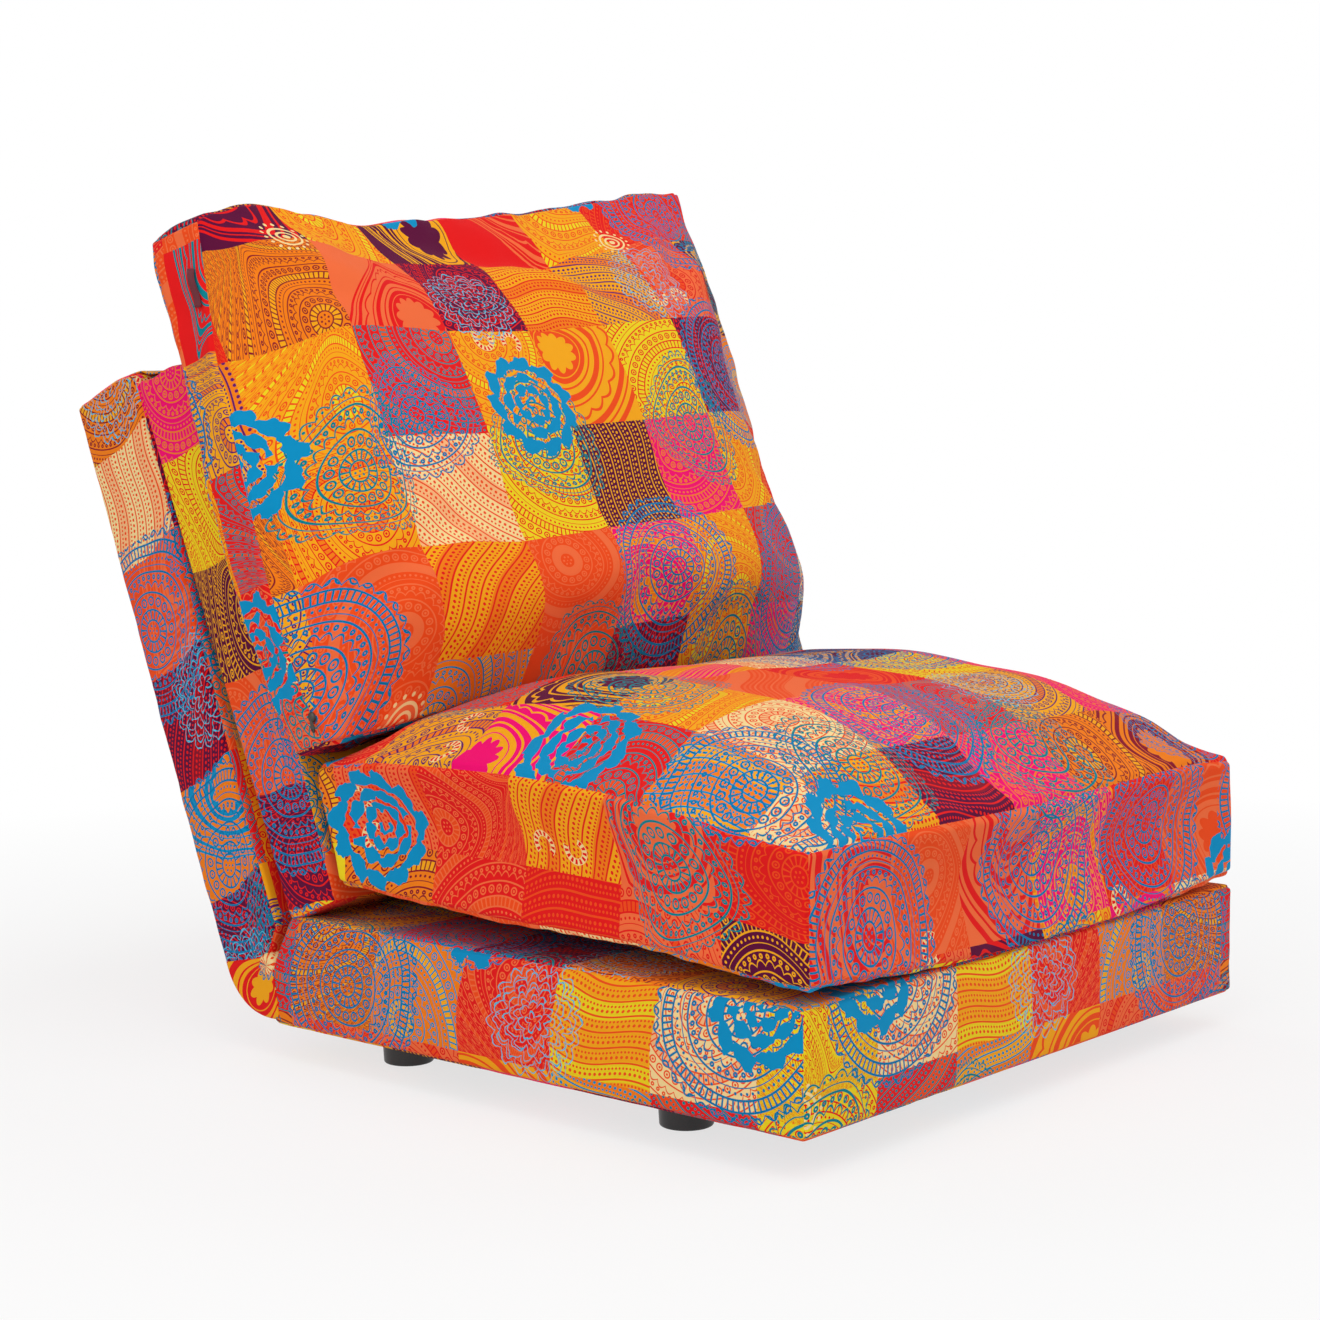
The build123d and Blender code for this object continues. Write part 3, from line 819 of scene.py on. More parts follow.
def smooth(low: float, high: float, value: np.ndarray) -> np.ndarray:
    """Smooth step from zero at one value to one at another."""
    share = np.clip((value - low) / (high - low), 0.0, 1.0)
    return share * share * (3 - 2 * share)


def add_object(name: str, data: bpy.types.ID) -> bpy.types.Object:
    """New object of the scene.

    Args:
        name: its name.
        data: its mesh, lamp or lens.

    Returns:
        The object.
    """
    item = bpy.data.objects.new(name, data)
    bpy.context.collection.objects.link(item)
    return item


def new_piece(name: str, points: np.ndarray, faces: np.ndarray | list[list[int]],
              places: np.ndarray | None = None) -> bpy.types.Object:
    """Make a smoothly shaded object from points and faces.

    Args:
        name: the piece's name.
        points: its points in the chair's frame.
        faces: the point numbers of each face.
        places: the cloth's place at each corner of each face, for a piece of cloth.

    Returns:
        The new object.
    """
    mesh = bpy.data.meshes.new(name)
    mesh.from_pydata(points.tolist(), [], faces if isinstance(faces, list) else faces.tolist())
    if places is not None:
        mesh.uv_layers.new(name="cloth").data.foreach_set("uv", places.reshape(-1))
    mesh.polygons.foreach_set("use_smooth", [True] * len(mesh.polygons))
    return add_object(name, mesh)


def grid_quads(rows: int, columns: int) -> np.ndarray:
    """Point numbers of the quads between the rows and columns of a grid.

    Args:
        rows: how many rows.
        columns: how many columns.

    Returns:
        Four point numbers for each quad.
    """
    number = np.arange(rows * columns).reshape(rows, columns)
    corners = (number[:-1, :-1], number[:-1, 1:], number[1:, 1:], number[1:, :-1])
    return np.stack(corners, axis=-1).reshape(-1, 4)


def settle(piece: bpy.types.Object) -> None:
    """Replace a piece's mesh by what its modifiers make of it.

    Args:
        piece: the piece.
    """
    evaluated = piece.evaluated_get(bpy.context.evaluated_depsgraph_get())
    mesh = bpy.data.meshes.new_from_object(evaluated)
    piece.modifiers.clear()
    old, piece.data = piece.data, mesh
    bpy.data.meshes.remove(old)


def thicken(piece: bpy.types.Object, wall: float, offset: float = 0.0) -> None:
    """Give a strip its thickness, on both sides of it or on one.

    Args:
        piece: the strip.
        wall: its thickness.
        offset: zero for both sides, else one side.
    """
    modifier = piece.modifiers.new("wall", "SOLIDIFY")
    modifier.thickness = wall
    modifier.offset = offset
    settle(piece)


def smoothed(piece: bpy.types.Object, levels: int = 1) -> None:
    """Subdivide a piece's mesh and keep the result as its mesh.

    Args:
        piece: the piece.
        levels: how many times.
    """
    modifier = piece.modifiers.new("smoothing", "SUBSURF")
    modifier.levels = modifier.render_levels = levels
    modifier.uv_smooth = "PRESERVE_BOUNDARIES"
    settle(piece)


def read_points(piece: bpy.types.Object, kind: str = "co") -> np.ndarray:
    """Places of a piece's mesh points, or another of their vectors.

    Args:
        piece: the piece.
        kind: name of the vector.

    Returns:
        One row for each point.
    """
    flat = np.empty(len(piece.data.vertices) * 3)
    piece.data.vertices.foreach_get(kind, flat)
    return flat.reshape(-1, 3)


def read_normals(piece: bpy.types.Object) -> np.ndarray:
    """Normals of a piece's mesh points."""
    return read_points(piece, "normal")


def write_points(piece: bpy.types.Object, points: np.ndarray) -> None:
    """Move a piece's mesh points."""
    piece.data.vertices.foreach_set("co", points.reshape(-1))
    piece.data.update()


def surface_tree(piece: bpy.types.Object) -> BVHTree:
    """Search tree over a finished piece's faces."""
    faces = [list(face.vertices) for face in piece.data.polygons]
    return BVHTree.FromPolygons(read_points(piece).tolist(), faces)


def dress_padded(piece: bpy.types.Object, cloth: bpy.types.Material, replaced: tuple[str, ...],
                 body: str) -> None:
    """Args:
        piece: the shaped piece.
        cloth: the cover's material.
        replaced: the nodes that it stands for.
        body: the body that it rides on.
    """
    smoothed(piece)
    piece.data.materials.append(cloth)
    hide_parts(*replaced)
    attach(piece, body)
    LOG.info("%s: %d faces", piece.name, len(piece.data.polygons))


class Panel(Enum):
    """Sewn panels of a block, as the lattice axis and the end that they close."""

    RIGHT = (0, 0)
    LEFT = (0, 1)
    NEAR = (1, 0)
    FAR = (1, 1)
    LOW = (2, 0)
    HIGH = (2, 1)


Lays = dict[Panel, tuple[float, float]]


def lays(*shifts: tuple[float, float]) -> Lays:
    """How far the print is shifted on the right, left, near, far, low and high panels."""
    return dict(zip(Panel, shifts))


@dataclass
class SewnBlock:
    """Block of six sewn panels over a box lattice, rounded along its seams and then shaped."""

    name: str
    size: tuple[float, float, float]
    shape: Callable[[np.ndarray, np.ndarray, np.ndarray], np.ndarray]
    lays: Lays
    rim: float
    step: float = 0.012
    points: np.ndarray | None = None
    box: np.ndarray | None = None

    def stations(self, length: float) -> np.ndarray:
        """Lattice places from zero to a length, closer together in the rounded rims.

        Args:
            length: length of the side.

        Returns:
            The places.
        """
        rim = min(self.rim, length / 2.2)
        ends = rim * (1 - np.tan(np.radians([45, 30, 15, 0])))
        count = max(2, int(round((length - 2 * rim) / self.step)))
        inner = np.linspace(rim, length - rim, count + 1)
        return np.concatenate([ends[:-1], inner, (length - ends[:-1])[::-1]])

    def lattice(self) -> np.ndarray:
        """Number of each surface point at its lattice place.

        Returns:
            The numbers, with minus one inside the block.
        """
        axes = [self.stations(length) for length in self.size]
        shape = tuple(len(axis) for axis in axes)
        numbers = np.full(shape, -1)
        surface = np.zeros(shape, dtype=bool)
        for axis in range(3):
            ends = [slice(None)] * 3
            for end in (0, -1):
                ends[axis] = end
                surface[tuple(ends)] = True
        numbers[surface] = np.arange(surface.sum())
        places = np.argwhere(surface)
        self.box = np.stack([axes[axis][places[:, axis]] for axis in range(3)], axis=-1)
        return numbers

    def rounded(self) -> np.ndarray:
        """Box points with all edges rounded by the rim radius.

        Returns:
            One row for each point.
        """
        low, high = np.full(3, self.rim), np.array(self.size) - self.rim
        core = np.clip(self.box, np.minimum(low, high), np.maximum(low, high))
        away = self.box - core
        reach = np.linalg.norm(away, axis=1, keepdims=True)
        return core + away / np.maximum(reach, 1e-9) * np.minimum(reach, self.rim)

    def seam_distance(self) -> np.ndarray:
        """Distance of each point from the nearest seam, measured on the box."""
        to_faces = np.minimum(self.box, np.array(self.size) - self.box)
        return np.sort(to_faces, axis=1)[:, 1]

    def on_panel(self, panel: Panel) -> np.ndarray:
        """Mask of the points of a panel, seams included."""
        axis, end = panel.value
        return np.abs(self.box[:, axis] - (self.size[axis] if end else 0.0)) < 1e-6

    def build(self) -> bpy.types.Object:
        """Make the block's object with one print map for its panels.

        Returns:
            The new object.
        """
        numbers = self.lattice()
        soft = self.rounded()
        self.points = self.shape(soft[:, 0] - self.size[0] / 2, soft[:, 1], soft[:, 2])
        faces, places = zip(*(self.panel_faces(numbers, panel) for panel in Panel))
        piece = new_piece(self.name, self.points, np.concatenate(faces), np.concatenate(places))
        piece.data.validate()
        return piece

    def panel_faces(self, numbers: np.ndarray, panel: Panel) -> tuple[np.ndarray, np.ndarray]:
        """Faces of one panel and their print places.

        Args:
            numbers: point number at each lattice place.
            panel: the panel to make.

        Returns:
            The four point numbers of each face, and the four print places of each face.
        """
        axis, end = panel.value
        grid = np.take(numbers, -1 if end else 0, axis=axis)
        place = self.points[grid]
        u, v = self.run(place, 0), self.run(place, 1)
        uv = np.stack([u, v], axis=-1) + self.lays[panel]
        index = [(slice(None, -1), slice(None, -1)), (slice(1, None), slice(None, -1)),
                 (slice(1, None), slice(1, None)), (slice(None, -1), slice(1, None))]
        if bool(end) == (axis == 1):
            index = index[::-1]
        faces = np.stack([grid[i] for i in index], axis=-1).reshape(-1, 4)
        corners = np.stack([uv[i] for i in index], axis=-2).reshape(-1, 4, 2)
        return faces, corners

    @staticmethod
    def run(place: np.ndarray, axis: int) -> np.ndarray:
        """Length along the cloth from a panel's middle, for each point of a grid.

        Args:
            place: points of the grid.
            axis: the length's direction.

        Returns:
            The length at each point.
        """
        steps = np.linalg.norm(np.diff(place, axis=axis), axis=-1)
        start = np.zeros_like(np.take(steps, [0], axis=axis))
        total = np.concatenate([start, np.cumsum(steps, axis=axis)], axis=axis)
        return total - np.take(total, [total.shape[axis] // 2], axis=axis)


@dataclass(frozen=True)
class Ripple:
    """Smooth seeded unevenness of a stuffed cover."""

    seed: int
    height: float
    length: float

    def at(self, points: np.ndarray) -> np.ndarray:
        """Height of the ripple at each point.

        Args:
            points: points in the chair's frame.

        Returns:
            The heights.
        """
        source = np.random.RandomState(self.seed)
        total = np.zeros(len(points))
        for _ in range(7):
            direction = source.normal(size=3)
            direction *= FULL_TURN / self.length / np.linalg.norm(direction) * source.uniform(0.6, 1.5)
            total += np.sin(points @ direction + source.uniform(0, FULL_TURN)) / 3.2
        return total * self.height


@dataclass(frozen=True)
class Seam:
    """Pinch and gathers that sewing leaves along the edges of a stuffed cover."""

    depth: float = 0.0016
    width: float = 0.0035
    gather: float = 0.0011
    gather_length: float = 0.026
    reach: float = 0.030
    bare: float = 0.004
    seed: int = 5

    def push(self, points: np.ndarray, distance: np.ndarray) -> np.ndarray:
        """How far each point moves along its normal, given its distance from the seam.

        Args:
            points: points in the chair's frame.
            distance: their distance from the nearest seam.

        Returns:
            The moves in metres.
        """
        pinch = -self.depth * np.exp(-(distance / self.width) ** 2)
        waves = Ripple(self.seed, self.gather, self.gather_length).at(points)
        hold = np.exp(-distance / self.reach) * (1 - np.exp(-distance / self.bare))
        return pinch + waves * hold


@dataclass
class Section:
    """One hinged mattress section: a foam block in a fitted cover.

    Crowned panels swell in their middle, and held panels face a neighbour and don't.
    """

    name: str
    body: str
    replaced: tuple[str, ...]
    size: tuple[float, float, float]
    shape: Callable[[np.ndarray, np.ndarray, np.ndarray], np.ndarray]
    lays: Lays
    crowns: dict[Panel, float]
    held: tuple[Panel, ...]
    seed: int
    rim: float
    fill: float = 0.9
    clearance: float = 0.0004

    def build(self, cloth: bpy.types.Material) -> None:
        """Make, crown, gather and dress the section.

        Args:
            cloth: the cover's material.
        """
        block = SewnBlock(self.name, self.size, self.shape, self.lays, self.rim)
        piece = block.build()
        points = read_points(piece)
        normals = read_normals(piece)
        push = Seam(seed=self.seed).push(points, block.seam_distance())
        push += Ripple(self.seed + 1, 0.0010, 0.16).at(points) * smooth(0, 0.03, block.seam_distance())
        shares = block.box / np.array(self.size)
        for panel, height in self.crowns.items():
            others = [axis for axis in range(3) if axis != panel.value[0]]
            rise = np.prod(np.clip(1 - (2 * shares[:, others] - 1) ** 4, 0, 1), axis=1)
            push += np.where(block.on_panel(panel), height * rise, 0.0)
        for panel in self.held:
            push = np.where(block.on_panel(panel), np.minimum(push, -self.clearance), push)
        write_points(piece, points + normals * push[:, None])
        dress_padded(piece, cloth, self.replaced, self.body)


def base_shape(x: np.ndarray, along: np.ndarray, up: np.ndarray) -> np.ndarray:
    """Base section, with its upper rear edge cut back for the fold.

    Args:
        x: place across.
        along: place along.
        up: place up.

    Returns:
        The points in the chair's frame.
    """
    rear_cut, block_height, sink = 0.030, 0.1115, 0.0055
    _, length, height = BASE_SIZE
    upper_half = np.clip(2 * up / height - 1, 0, 1)
    return chair(x, along * (length - rear_cut * upper_half) / length, up / height * block_height - sink)


def back_shape(x: np.ndarray, along: np.ndarray, through: np.ndarray) -> np.ndarray:
    """Back section at its lean, thinner and cut back at its foot.

    Args:
        x: place across.
        along: place along.
        through: place through it.

    Returns:
        The points in the chair's frame.
    """
    foot_front, foot_rear, top_rise, foot_slope = 0.028, 0.066, 0.010, math.tan(math.radians(44))
    share = along / BACK_SIZE[1]
    front = foot_front + (BACK_FRONT - foot_front) * smooth(0.0, 1.0, share)
    rear = foot_rear - 0.012 * smooth(-0.2, 1.0, share)
    frontward = -rear + through / BACK_SIZE[2] * (front + rear)
    foot = 0.004 + np.clip(frontward, 0, None) * foot_slope
    top = BACK_LENGTH + top_rise - 0.006 * smooth(0.015, BACK_FRONT, frontward)
    depth, height = on_back(foot + (top - foot) * share, frontward)
    return chair(x, depth, height)


def head_shape(x: np.ndarray, down: np.ndarray, through: np.ndarray) -> np.ndarray:
    """Head section folded down in front of the back section.

    Args:
        x: place across.
        down: place down.
        through: place through it.

    Returns:
        The points in the chair's frame.
    """
    gap, top_thickness, taper, top_start, length = 0.0005, 0.1035, 0.034, 0.006, 0.574
    share = down / HEAD_SIZE[1]
    inside = through / HEAD_SIZE[2] * (top_thickness - taper * share)
    frontward = gap + inside
    top = top_start + inside * math.tan(LEAN) - 0.015 * smooth(0.015, 0.06, frontward)
    depth, height = on_head(top + (length - top) * share, frontward)
    return chair(x, depth, height)


SECTIONS = (
    Section("base_section", "seat_base", ("base_cover", "base_filling"), BASE_SIZE, base_shape,
            lays((0.05, 0.04), (0.4, 0.1), (0.03, 0.02), (0.3, 1.9), (2.1, 1.0), (1.3, 0.4)),
            {Panel.NEAR: 0.003, Panel.RIGHT: 0.003, Panel.LEFT: 0.003},
            (Panel.HIGH, Panel.FAR, Panel.LOW), 21, 0.007),
    Section("back_section_pad", "back_section", ("back_cover", "back_filling"), BACK_SIZE, back_shape,
            lays((0.7, 0.3), (0.1, 0.9), (0.9, 2.8), (0.6, 2.4), (3.0, 0.2), (2.2, 0.7)),
            {Panel.RIGHT: 0.003, Panel.LEFT: 0.003}, (Panel.HIGH, Panel.NEAR, Panel.FAR), 33, 0.008),
    Section("head_section_pad", "head_section", ("head_cover", "head_filling"), HEAD_SIZE, head_shape,
            lays((1.7, 0.3), (1.1, 0.9), (1.9, 2.8), (1.6, 2.4), (5.0, 0.2), (4.2, 0.7)),
            {Panel.RIGHT: 0.004, Panel.LEFT: 0.004}, (Panel.LOW, Panel.HIGH), 47, 0.009),
)


@dataclass(frozen=True)
class Inflation:
    """Cloth simulation that fills a sewn cover from inside."""

    pressure: float = 4.0
    frames: int = 20
    cap: float = 0.026
    stiffness: float = 30.0
    bending: float = 0.3
    mass: float = 0.3
    quality: int = 7
    seam_share: float = 0.06
    seam_reach: float = 0.06
    pressed_share: float = 0.1

    def run(self, piece: bpy.types.Object, seam_distance: np.ndarray, pressed: np.ndarray) -> None:
        """Inflate a piece and keep the result, held within the cap, near its seams and where it rests.

        Args:
            piece: the sewn block to fill.
            seam_distance: distance of each of its points from the nearest seam.
            pressed: mask of the points of the panel that lies on what carries the piece.
        """
        before = read_points(piece)
        scene = bpy.context.scene
        scene.frame_set(1)
        modifier = piece.modifiers.new("filling", "CLOTH")
        settings = modifier.settings
        settings.use_pressure = True
        settings.uniform_pressure_force = self.pressure
        settings.quality = self.quality
        settings.mass = self.mass
        settings.tension_stiffness = self.stiffness
        settings.compression_stiffness = self.stiffness
        settings.shear_stiffness = self.stiffness / 3
        settings.bending_stiffness = self.bending
        settings.effector_weights.gravity = 0.0
        modifier.point_cache.frame_start = 1
        modifier.point_cache.frame_end = self.frames
        modifier.collision_settings.use_self_collision = False
        for frame in range(1, self.frames + 1):
            scene.frame_set(frame)
        settle(piece)
        scene.frame_set(1)
        move = read_points(piece) - before
        length = np.linalg.norm(move, axis=1, keepdims=True)
        held = self.cap * np.tanh(length / self.cap)
        share = self.seam_share + (1 - self.seam_share) * smooth(0, self.seam_reach, seam_distance)
        share = np.where(pressed, share * self.pressed_share, share)
        write_points(piece, before + move / np.maximum(length, 1e-9) * held * share[:, None])


@dataclass(frozen=True)
class Fold:
    """Soft crease on the back cushion's front, between two places given as width and height along it."""

    start: tuple[float, float]
    end: tuple[float, float]
    depth: float
    width: float
    lip: float = 0.6

    def push(self, points: np.ndarray) -> np.ndarray:
        """How far each point moves along its normal.

        Args:
            points: points in the chair's frame.

        Returns:
            The moves in metres.
        """
        up, front = face_places(points)
        place = np.stack([points[:, 0], up], axis=-1)
        start, end = np.array(self.start), np.array(self.end)
        run = end - start
        share = np.clip((place - start) @ run / (run @ run), 0, 1)
        away = np.linalg.norm(place - start - share[:, None] * run, axis=1)
        fade = np.clip(1 - (2 * share - 1) ** 4, 0, 1) * smooth(0.015, 0.045, front)
        crease = np.exp(-(away / self.width) ** 2)
        lips = np.exp(-((away - 2.0 * self.width) / self.width) ** 2)
        return self.depth * fade * (self.lip * lips - crease)


@dataclass
class Cushion:
    """Loose cushion: a sewn block, filled, gathered along its seams and laid on what carries it."""

    body: str
    replaced: tuple[str, ...]
    block: SewnBlock
    inflation: Inflation
    seam: Seam
    unevenness: Ripple
    rest: Callable[[np.ndarray], np.ndarray]
    folds: tuple[Fold, ...] = ()
    fill: float = 0.75

    def build(self, cloth: bpy.types.Material) -> None:
        """Make, fill, gather and dress the cushion.

        Args:
            cloth: the cover's material.
        """
        piece = self.block.build()
        distance = self.block.seam_distance()
        self.inflation.run(piece, distance, self.block.on_panel(Panel.LOW))
        points = read_points(piece)
        normals = read_normals(piece)
        push = self.seam.push(points, distance) + self.unevenness.at(points) * smooth(0, 0.05, distance)
        for fold in self.folds:
            push += fold.push(points)
        write_points(piece, self.rest(points + normals * push[:, None]))
        dress_padded(piece, cloth, self.replaced, self.body)


SEAT_SIZE = (0.700, 0.561, 0.116)
SEAT_RUN = 0.587
SEAT_LOW_SEAM = 0.1223
SEAT_FLOOR = 0.1066
SEAT_CROWN = 0.052
FRONT_TOP = 0.233
FRONT_LOW = 0.119
Profile = tuple[tuple[float, ...], tuple[float, ...]]
SIDE_TOP_SEAM: Profile = ((0.0, 0.017, 0.069, 0.123, 0.226, 0.330, 0.433, 0.526, 0.587),
                          (0.233, 0.236, 0.241, 0.250, 0.263, 0.269, 0.268, 0.266, 0.254))
SIDE_LOW_SEAM: Profile = ((0.0, 0.065, 0.137, 0.214, 0.379, 0.491, 0.587),
                          (0.119, 0.121, 0.127, 0.131, 0.132, 0.137, 0.144))
FRONT_TOP_SEAM: Profile = ((-0.350, -0.242, -0.017, 0.145, 0.286, 0.345),
                           (0.233, 0.231, 0.230, 0.234, 0.238, 0.233))
FRONT_LOW_SEAM: Profile = ((-0.350, -0.216, -0.061, 0.097, 0.278, 0.345),
                           (0.118, 0.111, 0.099, 0.099, 0.112, 0.118))


def along_profile(place: np.ndarray, profile: Profile) -> np.ndarray:
    """Value of a profile at each place, eased between its marks.

    Args:
        place: where to read it.
        profile: its marks and their values.

    Returns:
        The eased values.
    """
    reach = 0.05 * (profile[0][-1] - profile[0][0])
    shifts = (-1.0, -0.5, 0.0, 0.5, 1.0)
    return sum(np.interp(place + shift * reach, *profile) for shift in shifts) / len(shifts)


def dome(from_edge: np.ndarray, reach: float, power: float = 2.3) -> np.ndarray:
    """Share of a crown's height at a distance from the edge."""
    return 1 - (1 - np.clip(from_edge / reach, 0, 1)) ** power


def seat_rear(height: np.ndarray) -> np.ndarray:
    """Depth of the seat cushion's rear face at a height."""
    return 0.5545 + 0.036 * np.clip((height - SEAT_LOW_SEAM) / SEAT_SIZE[2], 0, 1)


def seat_shape(x: np.ndarray, along: np.ndarray, up: np.ndarray) -> np.ndarray:
    """Seat cushion before it is filled, its seams arched as its sides are pulled.

    Args:
        x: place across.
        along: place along.
        up: place up.

    Returns:
        The points in the chair's frame.
    """
    share, rise = along / SEAT_SIZE[1], up / SEAT_SIZE[2]
    depth = share * SEAT_RUN
    to_front = np.clip(1 - depth / 0.16, 0, 1) ** 2
    front_low = along_profile(x, FRONT_LOW_SEAM)
    top = along_profile(depth, SIDE_TOP_SEAM) + to_front * (along_profile(x, FRONT_TOP_SEAM) - FRONT_TOP)
    low = along_profile(depth, SIDE_LOW_SEAM) + to_front * (front_low - FRONT_LOW)
    from_side = HALF_WIDTH - np.abs(x)
    from_end = np.minimum(along, SEAT_SIZE[1] - along)
    crown = dome(from_side, 0.19) * dome(from_end, 0.19) * (1 - 0.25 * smooth(0.6, 1.0, share))
    top = top + SEAT_CROWN * crown
    sunk = smooth(0.0, 0.28, from_side) * smooth(0.0, 0.12, np.where(share < 0.5, 0.12, from_end))
    low = low * (1 - sunk) + SEAT_FLOOR * sunk
    nose = SEAT_FLOOR + (low - SEAT_FLOOR) * (1 - to_front) + to_front * (front_low - SEAT_FLOOR)
    low = np.where(share < 0.5, np.minimum(low, nose), low)
    height = low + (top - low) * rise
    front, rear = -0.006, seat_rear(height) + 0.001
    half = np.where(x < 0, 0.349, 0.343)
    return chair(x / HALF_WIDTH * half, front + (rear - front) * share, height)


def seat_rest(points: np.ndarray) -> np.ndarray:
    """Flatten the seat cushion where it lies on the base and clear it of the sections behind it.

    Args:
        points: points in the chair's frame.

    Returns:
        The points of the laid cushion.
    """
    depth, height = points[:, 1] + MIDDLE_DEPTH, points[:, 2] - FLOOR_GAP
    over_base, nose_floor = depth > -0.0045, 0.094
    height = np.maximum(height, np.where(over_base, SEAT_FLOOR, nose_floor))
    depth = np.minimum(depth, seat_rear(height) + 0.004)
    return chair(points[:, 0], depth, height)


# The head section's front face: its foot and its direction, as depth and height

FACE_FOOT = (0.5633, 0.1261)
FACE_RUN = (0.3223, 0.9466)
PILLOW_SIZE = (0.730, 0.548, 0.048)
PILLOW_LOW = 0.2723
PILLOW_DEPTH = FACE_FOOT[0] + (PILLOW_LOW - FACE_FOOT[1]) * FACE_RUN[0] / FACE_RUN[1]


def on_face(up: np.ndarray, front: np.ndarray) -> tuple[np.ndarray, np.ndarray]:
    """Depth and height of places up along and in front of the head section's front face."""
    return (PILLOW_DEPTH + up * FACE_RUN[0] - front * FACE_RUN[1],
            PILLOW_LOW + up * FACE_RUN[1] + front * FACE_RUN[0])


def face_places(points: np.ndarray) -> tuple[np.ndarray, np.ndarray]:
    """Places up along and in front of the head section's face, for points of the chair's frame.

    Args:
        points: points in the chair's frame.

    Returns:
        The places up the face and in front of it.
    """
    run = points[:, 1] + MIDDLE_DEPTH - PILLOW_DEPTH
    rise = points[:, 2] - FLOOR_GAP - PILLOW_LOW
    return run * FACE_RUN[0] + rise * FACE_RUN[1], rise * FACE_RUN[0] - run * FACE_RUN[1]


PILLOW_MARKS = (0.0, 0.07, 0.26, 0.51, 0.75, 1.0)
NEAR_HALF_WIDTH: Profile = (PILLOW_MARKS, (0.356, 0.370, 0.385, 0.389, 0.381, 0.363))
FAR_HALF_WIDTH: Profile = (PILLOW_MARKS, (0.368, 0.381, 0.389, 0.393, 0.391, 0.388))
NEAR_EDGE: Profile = (PILLOW_MARKS, (0.050, 0.044, 0.052, 0.058, 0.054, 0.066))
FAR_EDGE = 0.056
PILLOW_CROWN = 0.088
PILLOW_TOP: Profile = ((-0.365, -0.349, -0.281, -0.225, -0.160, -0.043, 0.098, 0.236, 0.328, 0.385),
                       (0.509, 0.518, 0.536, 0.530, 0.521, 0.532, 0.549, 0.573, 0.588, 0.592))


def pillow_shape(x: np.ndarray, up: np.ndarray, through: np.ndarray) -> np.ndarray:
    """Back cushion before it is filled, its far top corner standing higher than its near one.

    Args:
        x: place across.
        up: place up.
        through: place through it.

    Returns:
        The points in the chair's frame.
    """
    side = np.clip(2 * x / PILLOW_SIZE[0], -1, 1)
    near, share = side < 0, up / PILLOW_SIZE[1]
    half = np.where(near, along_profile(share, NEAR_HALF_WIDTH), along_profile(share, FAR_HALF_WIDTH))
    length = np.interp(side * half, *PILLOW_TOP) + 0.004
    crown = dome(share, 0.26, 2.4) * dome(1 - share, 0.62, 2.0)
    crown = (1 - np.abs(side) ** np.where(near, 2.8, 3.6)) * crown
    toward_near = np.clip(-side, 0, 1) ** 2
    edge = FAR_EDGE + toward_near * (along_profile(share, NEAR_EDGE) - FAR_EDGE)
    belly = 0.050 * (1 - np.abs(side) ** 3) * (1 - smooth(0.0, 0.4, share))
    front = through / PILLOW_SIZE[2]
    half = half + np.where(near, 0.014 * (1 - front) * smooth(0.6, 1.0, share), 0.0)
    flop = 0.008 * smooth(0.75, 1.0, share)
    hang = 0.014 * smooth(0.35, 0.95, -side) * (1 - smooth(0.0, 0.30, share))
    thickness = edge + belly + PILLOW_CROWN * crown
    depth, height = on_face(share * length - hang, 0.001 - flop + thickness * front)
    return chair(side * half, depth, height)


def on_seat(points: np.ndarray, seat: bpy.types.Object) -> np.ndarray:
    """Lift the points that would lie inside the seat cushion onto its top.

    Args:
        points: points in the chair's frame.
        seat: the seat cushion.

    Returns:
        The lifted points.
    """
    tree, above, clearance = surface_tree(seat), 0.6, 0.0022
    lifted = points.copy()
    for index in np.flatnonzero(points[:, 2] < FLOOR_GAP + 0.345):
        x, y, z = points[index]
        hit = tree.ray_cast(Vector((x, y, above)), Vector((0, 0, -1)))[0]
        if hit is not None:
            lifted[index, 2] = max(z, hit.z + clearance)
    return lifted


def pillow_rest(points: np.ndarray) -> np.ndarray:
    """Flatten the back cushion where it leans on the head section and sits on the seat cushion.

    Args:
        points: points in the chair's frame.

    Returns:
        The points of the laid cushion.
    """
    up, front = face_places(points)
    leaning = (points[:, 2] - FLOOR_GAP < 0.648) & (np.abs(points[:, 0]) < 0.358)
    front = np.where(leaning, np.maximum(front, 0.0008), front)
    depth, height = on_face(up, front)
    placed = chair(points[:, 0], depth, np.maximum(height, PILLOW_LOW - 0.016))
    return on_seat(placed, bpy.data.objects["seat_cushion_pad"])


